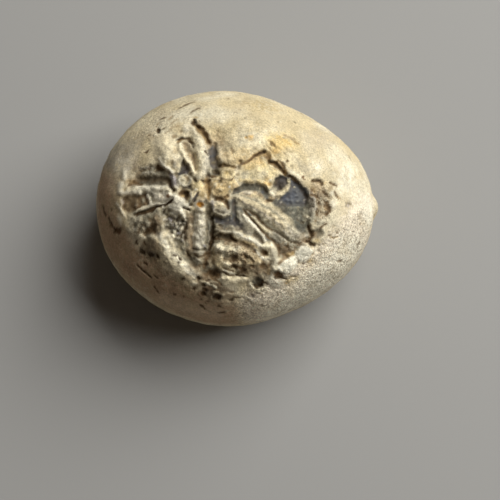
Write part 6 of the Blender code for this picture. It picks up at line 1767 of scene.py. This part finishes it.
CAMERA_DISTANCE = 300.0
CAMERA_ELEVATION = math.radians(79.0)
CAMERA_OFFSET = (2.62, -8.12)   # across and up the picture
CAMERA_LENS = 108.0
CAMERA_CLIP = 0.01
FLOOR_SIZE = 4.0
FLOOR_GREY = colour(0.365, 0.365, 0.357)
FLOOR_ROUGHNESS = 0.7
WINDOW_AZIMUTH = math.radians(37.0)
WINDOW_ELEVATION = math.radians(45.0)
WINDOW_DISTANCE = 1.0
WINDOW_AIM = (0.0, 0.0, 0.02)
WINDOW_SIZE = (1.0, 0.8)
WINDOW_WATTS = 15.0
WINDOW_TINT = (1.0, 0.985, 0.95)
ROOM_TINT = colour(1.0, 0.80, 0.65)
ROOM_STRENGTH = 0.055


def camera():
    """A long lens high over the stone's front."""
    data = bpy.data.cameras.new("camera")
    data.lens = CAMERA_LENS
    data.clip_start = CAMERA_CLIP
    seat = bpy.data.objects.new("camera", data)
    bpy.context.scene.collection.objects.link(seat)
    away = np.array((0.0, -math.cos(CAMERA_ELEVATION), math.sin(CAMERA_ELEVATION)))
    up = np.array((0.0, math.sin(CAMERA_ELEVATION), math.cos(CAMERA_ELEVATION)))
    place = MIDDLE + CAMERA_DISTANCE * away + CAMERA_OFFSET[0] * BOARD_RIGHT + CAMERA_OFFSET[1] * up
    seat.location = Vector(place) * MM
    seat.rotation_euler = (math.radians(90.0) - CAMERA_ELEVATION, 0.0, 0.0)
    bpy.context.scene.camera = seat


def floor():
    """A plain pale floor under the stone."""
    bpy.ops.object.select_all(action="DESELECT")
    bpy.ops.mesh.primitive_plane_add(size=FLOOR_SIZE)
    ground = bpy.context.object
    ground.name = "floor"
    finish = Finish("pale_floor")
    finish.shader.inputs["Base Color"].default_value = FLOOR_GREY
    finish.shader.inputs["Roughness"].default_value = FLOOR_ROUGHNESS
    ground.data.materials.append(finish.material)


def window():
    """Soft light from a broad window, high at the back on the right."""
    data = bpy.data.lights.new("window", "AREA")
    data.shape = "RECTANGLE"
    data.size, data.size_y = WINDOW_SIZE
    data.energy = WINDOW_WATTS
    data.color = WINDOW_TINT
    lamp = bpy.data.objects.new("window", data)
    bpy.context.scene.collection.objects.link(lamp)
    level = WINDOW_DISTANCE * math.cos(WINDOW_ELEVATION)
    place = Vector((level * math.cos(WINDOW_AZIMUTH), level * math.sin(WINDOW_AZIMUTH),
                    WINDOW_DISTANCE * math.sin(WINDOW_ELEVATION)))
    lamp.location = place
    lamp.rotation_euler = (Vector(WINDOW_AIM) - place).to_track_quat("-Z", "Y").to_euler()


def room():
    """Faint warm light from all round."""
    world = bpy.data.worlds.new("room")
    world.use_nodes = True
    back = world.node_tree.nodes["Background"]
    back.inputs["Color"].default_value = ROOM_TINT
    back.inputs["Strength"].default_value = ROOM_STRENGTH
    bpy.context.scene.world = world


stone = shape_stone()
stone.data.materials.append(stone_finish())
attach(stone, "root")
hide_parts(STONE_NODE)
floor()
camera()
window()
room()
bpy.context.scene.view_settings.view_transform = "Standard"
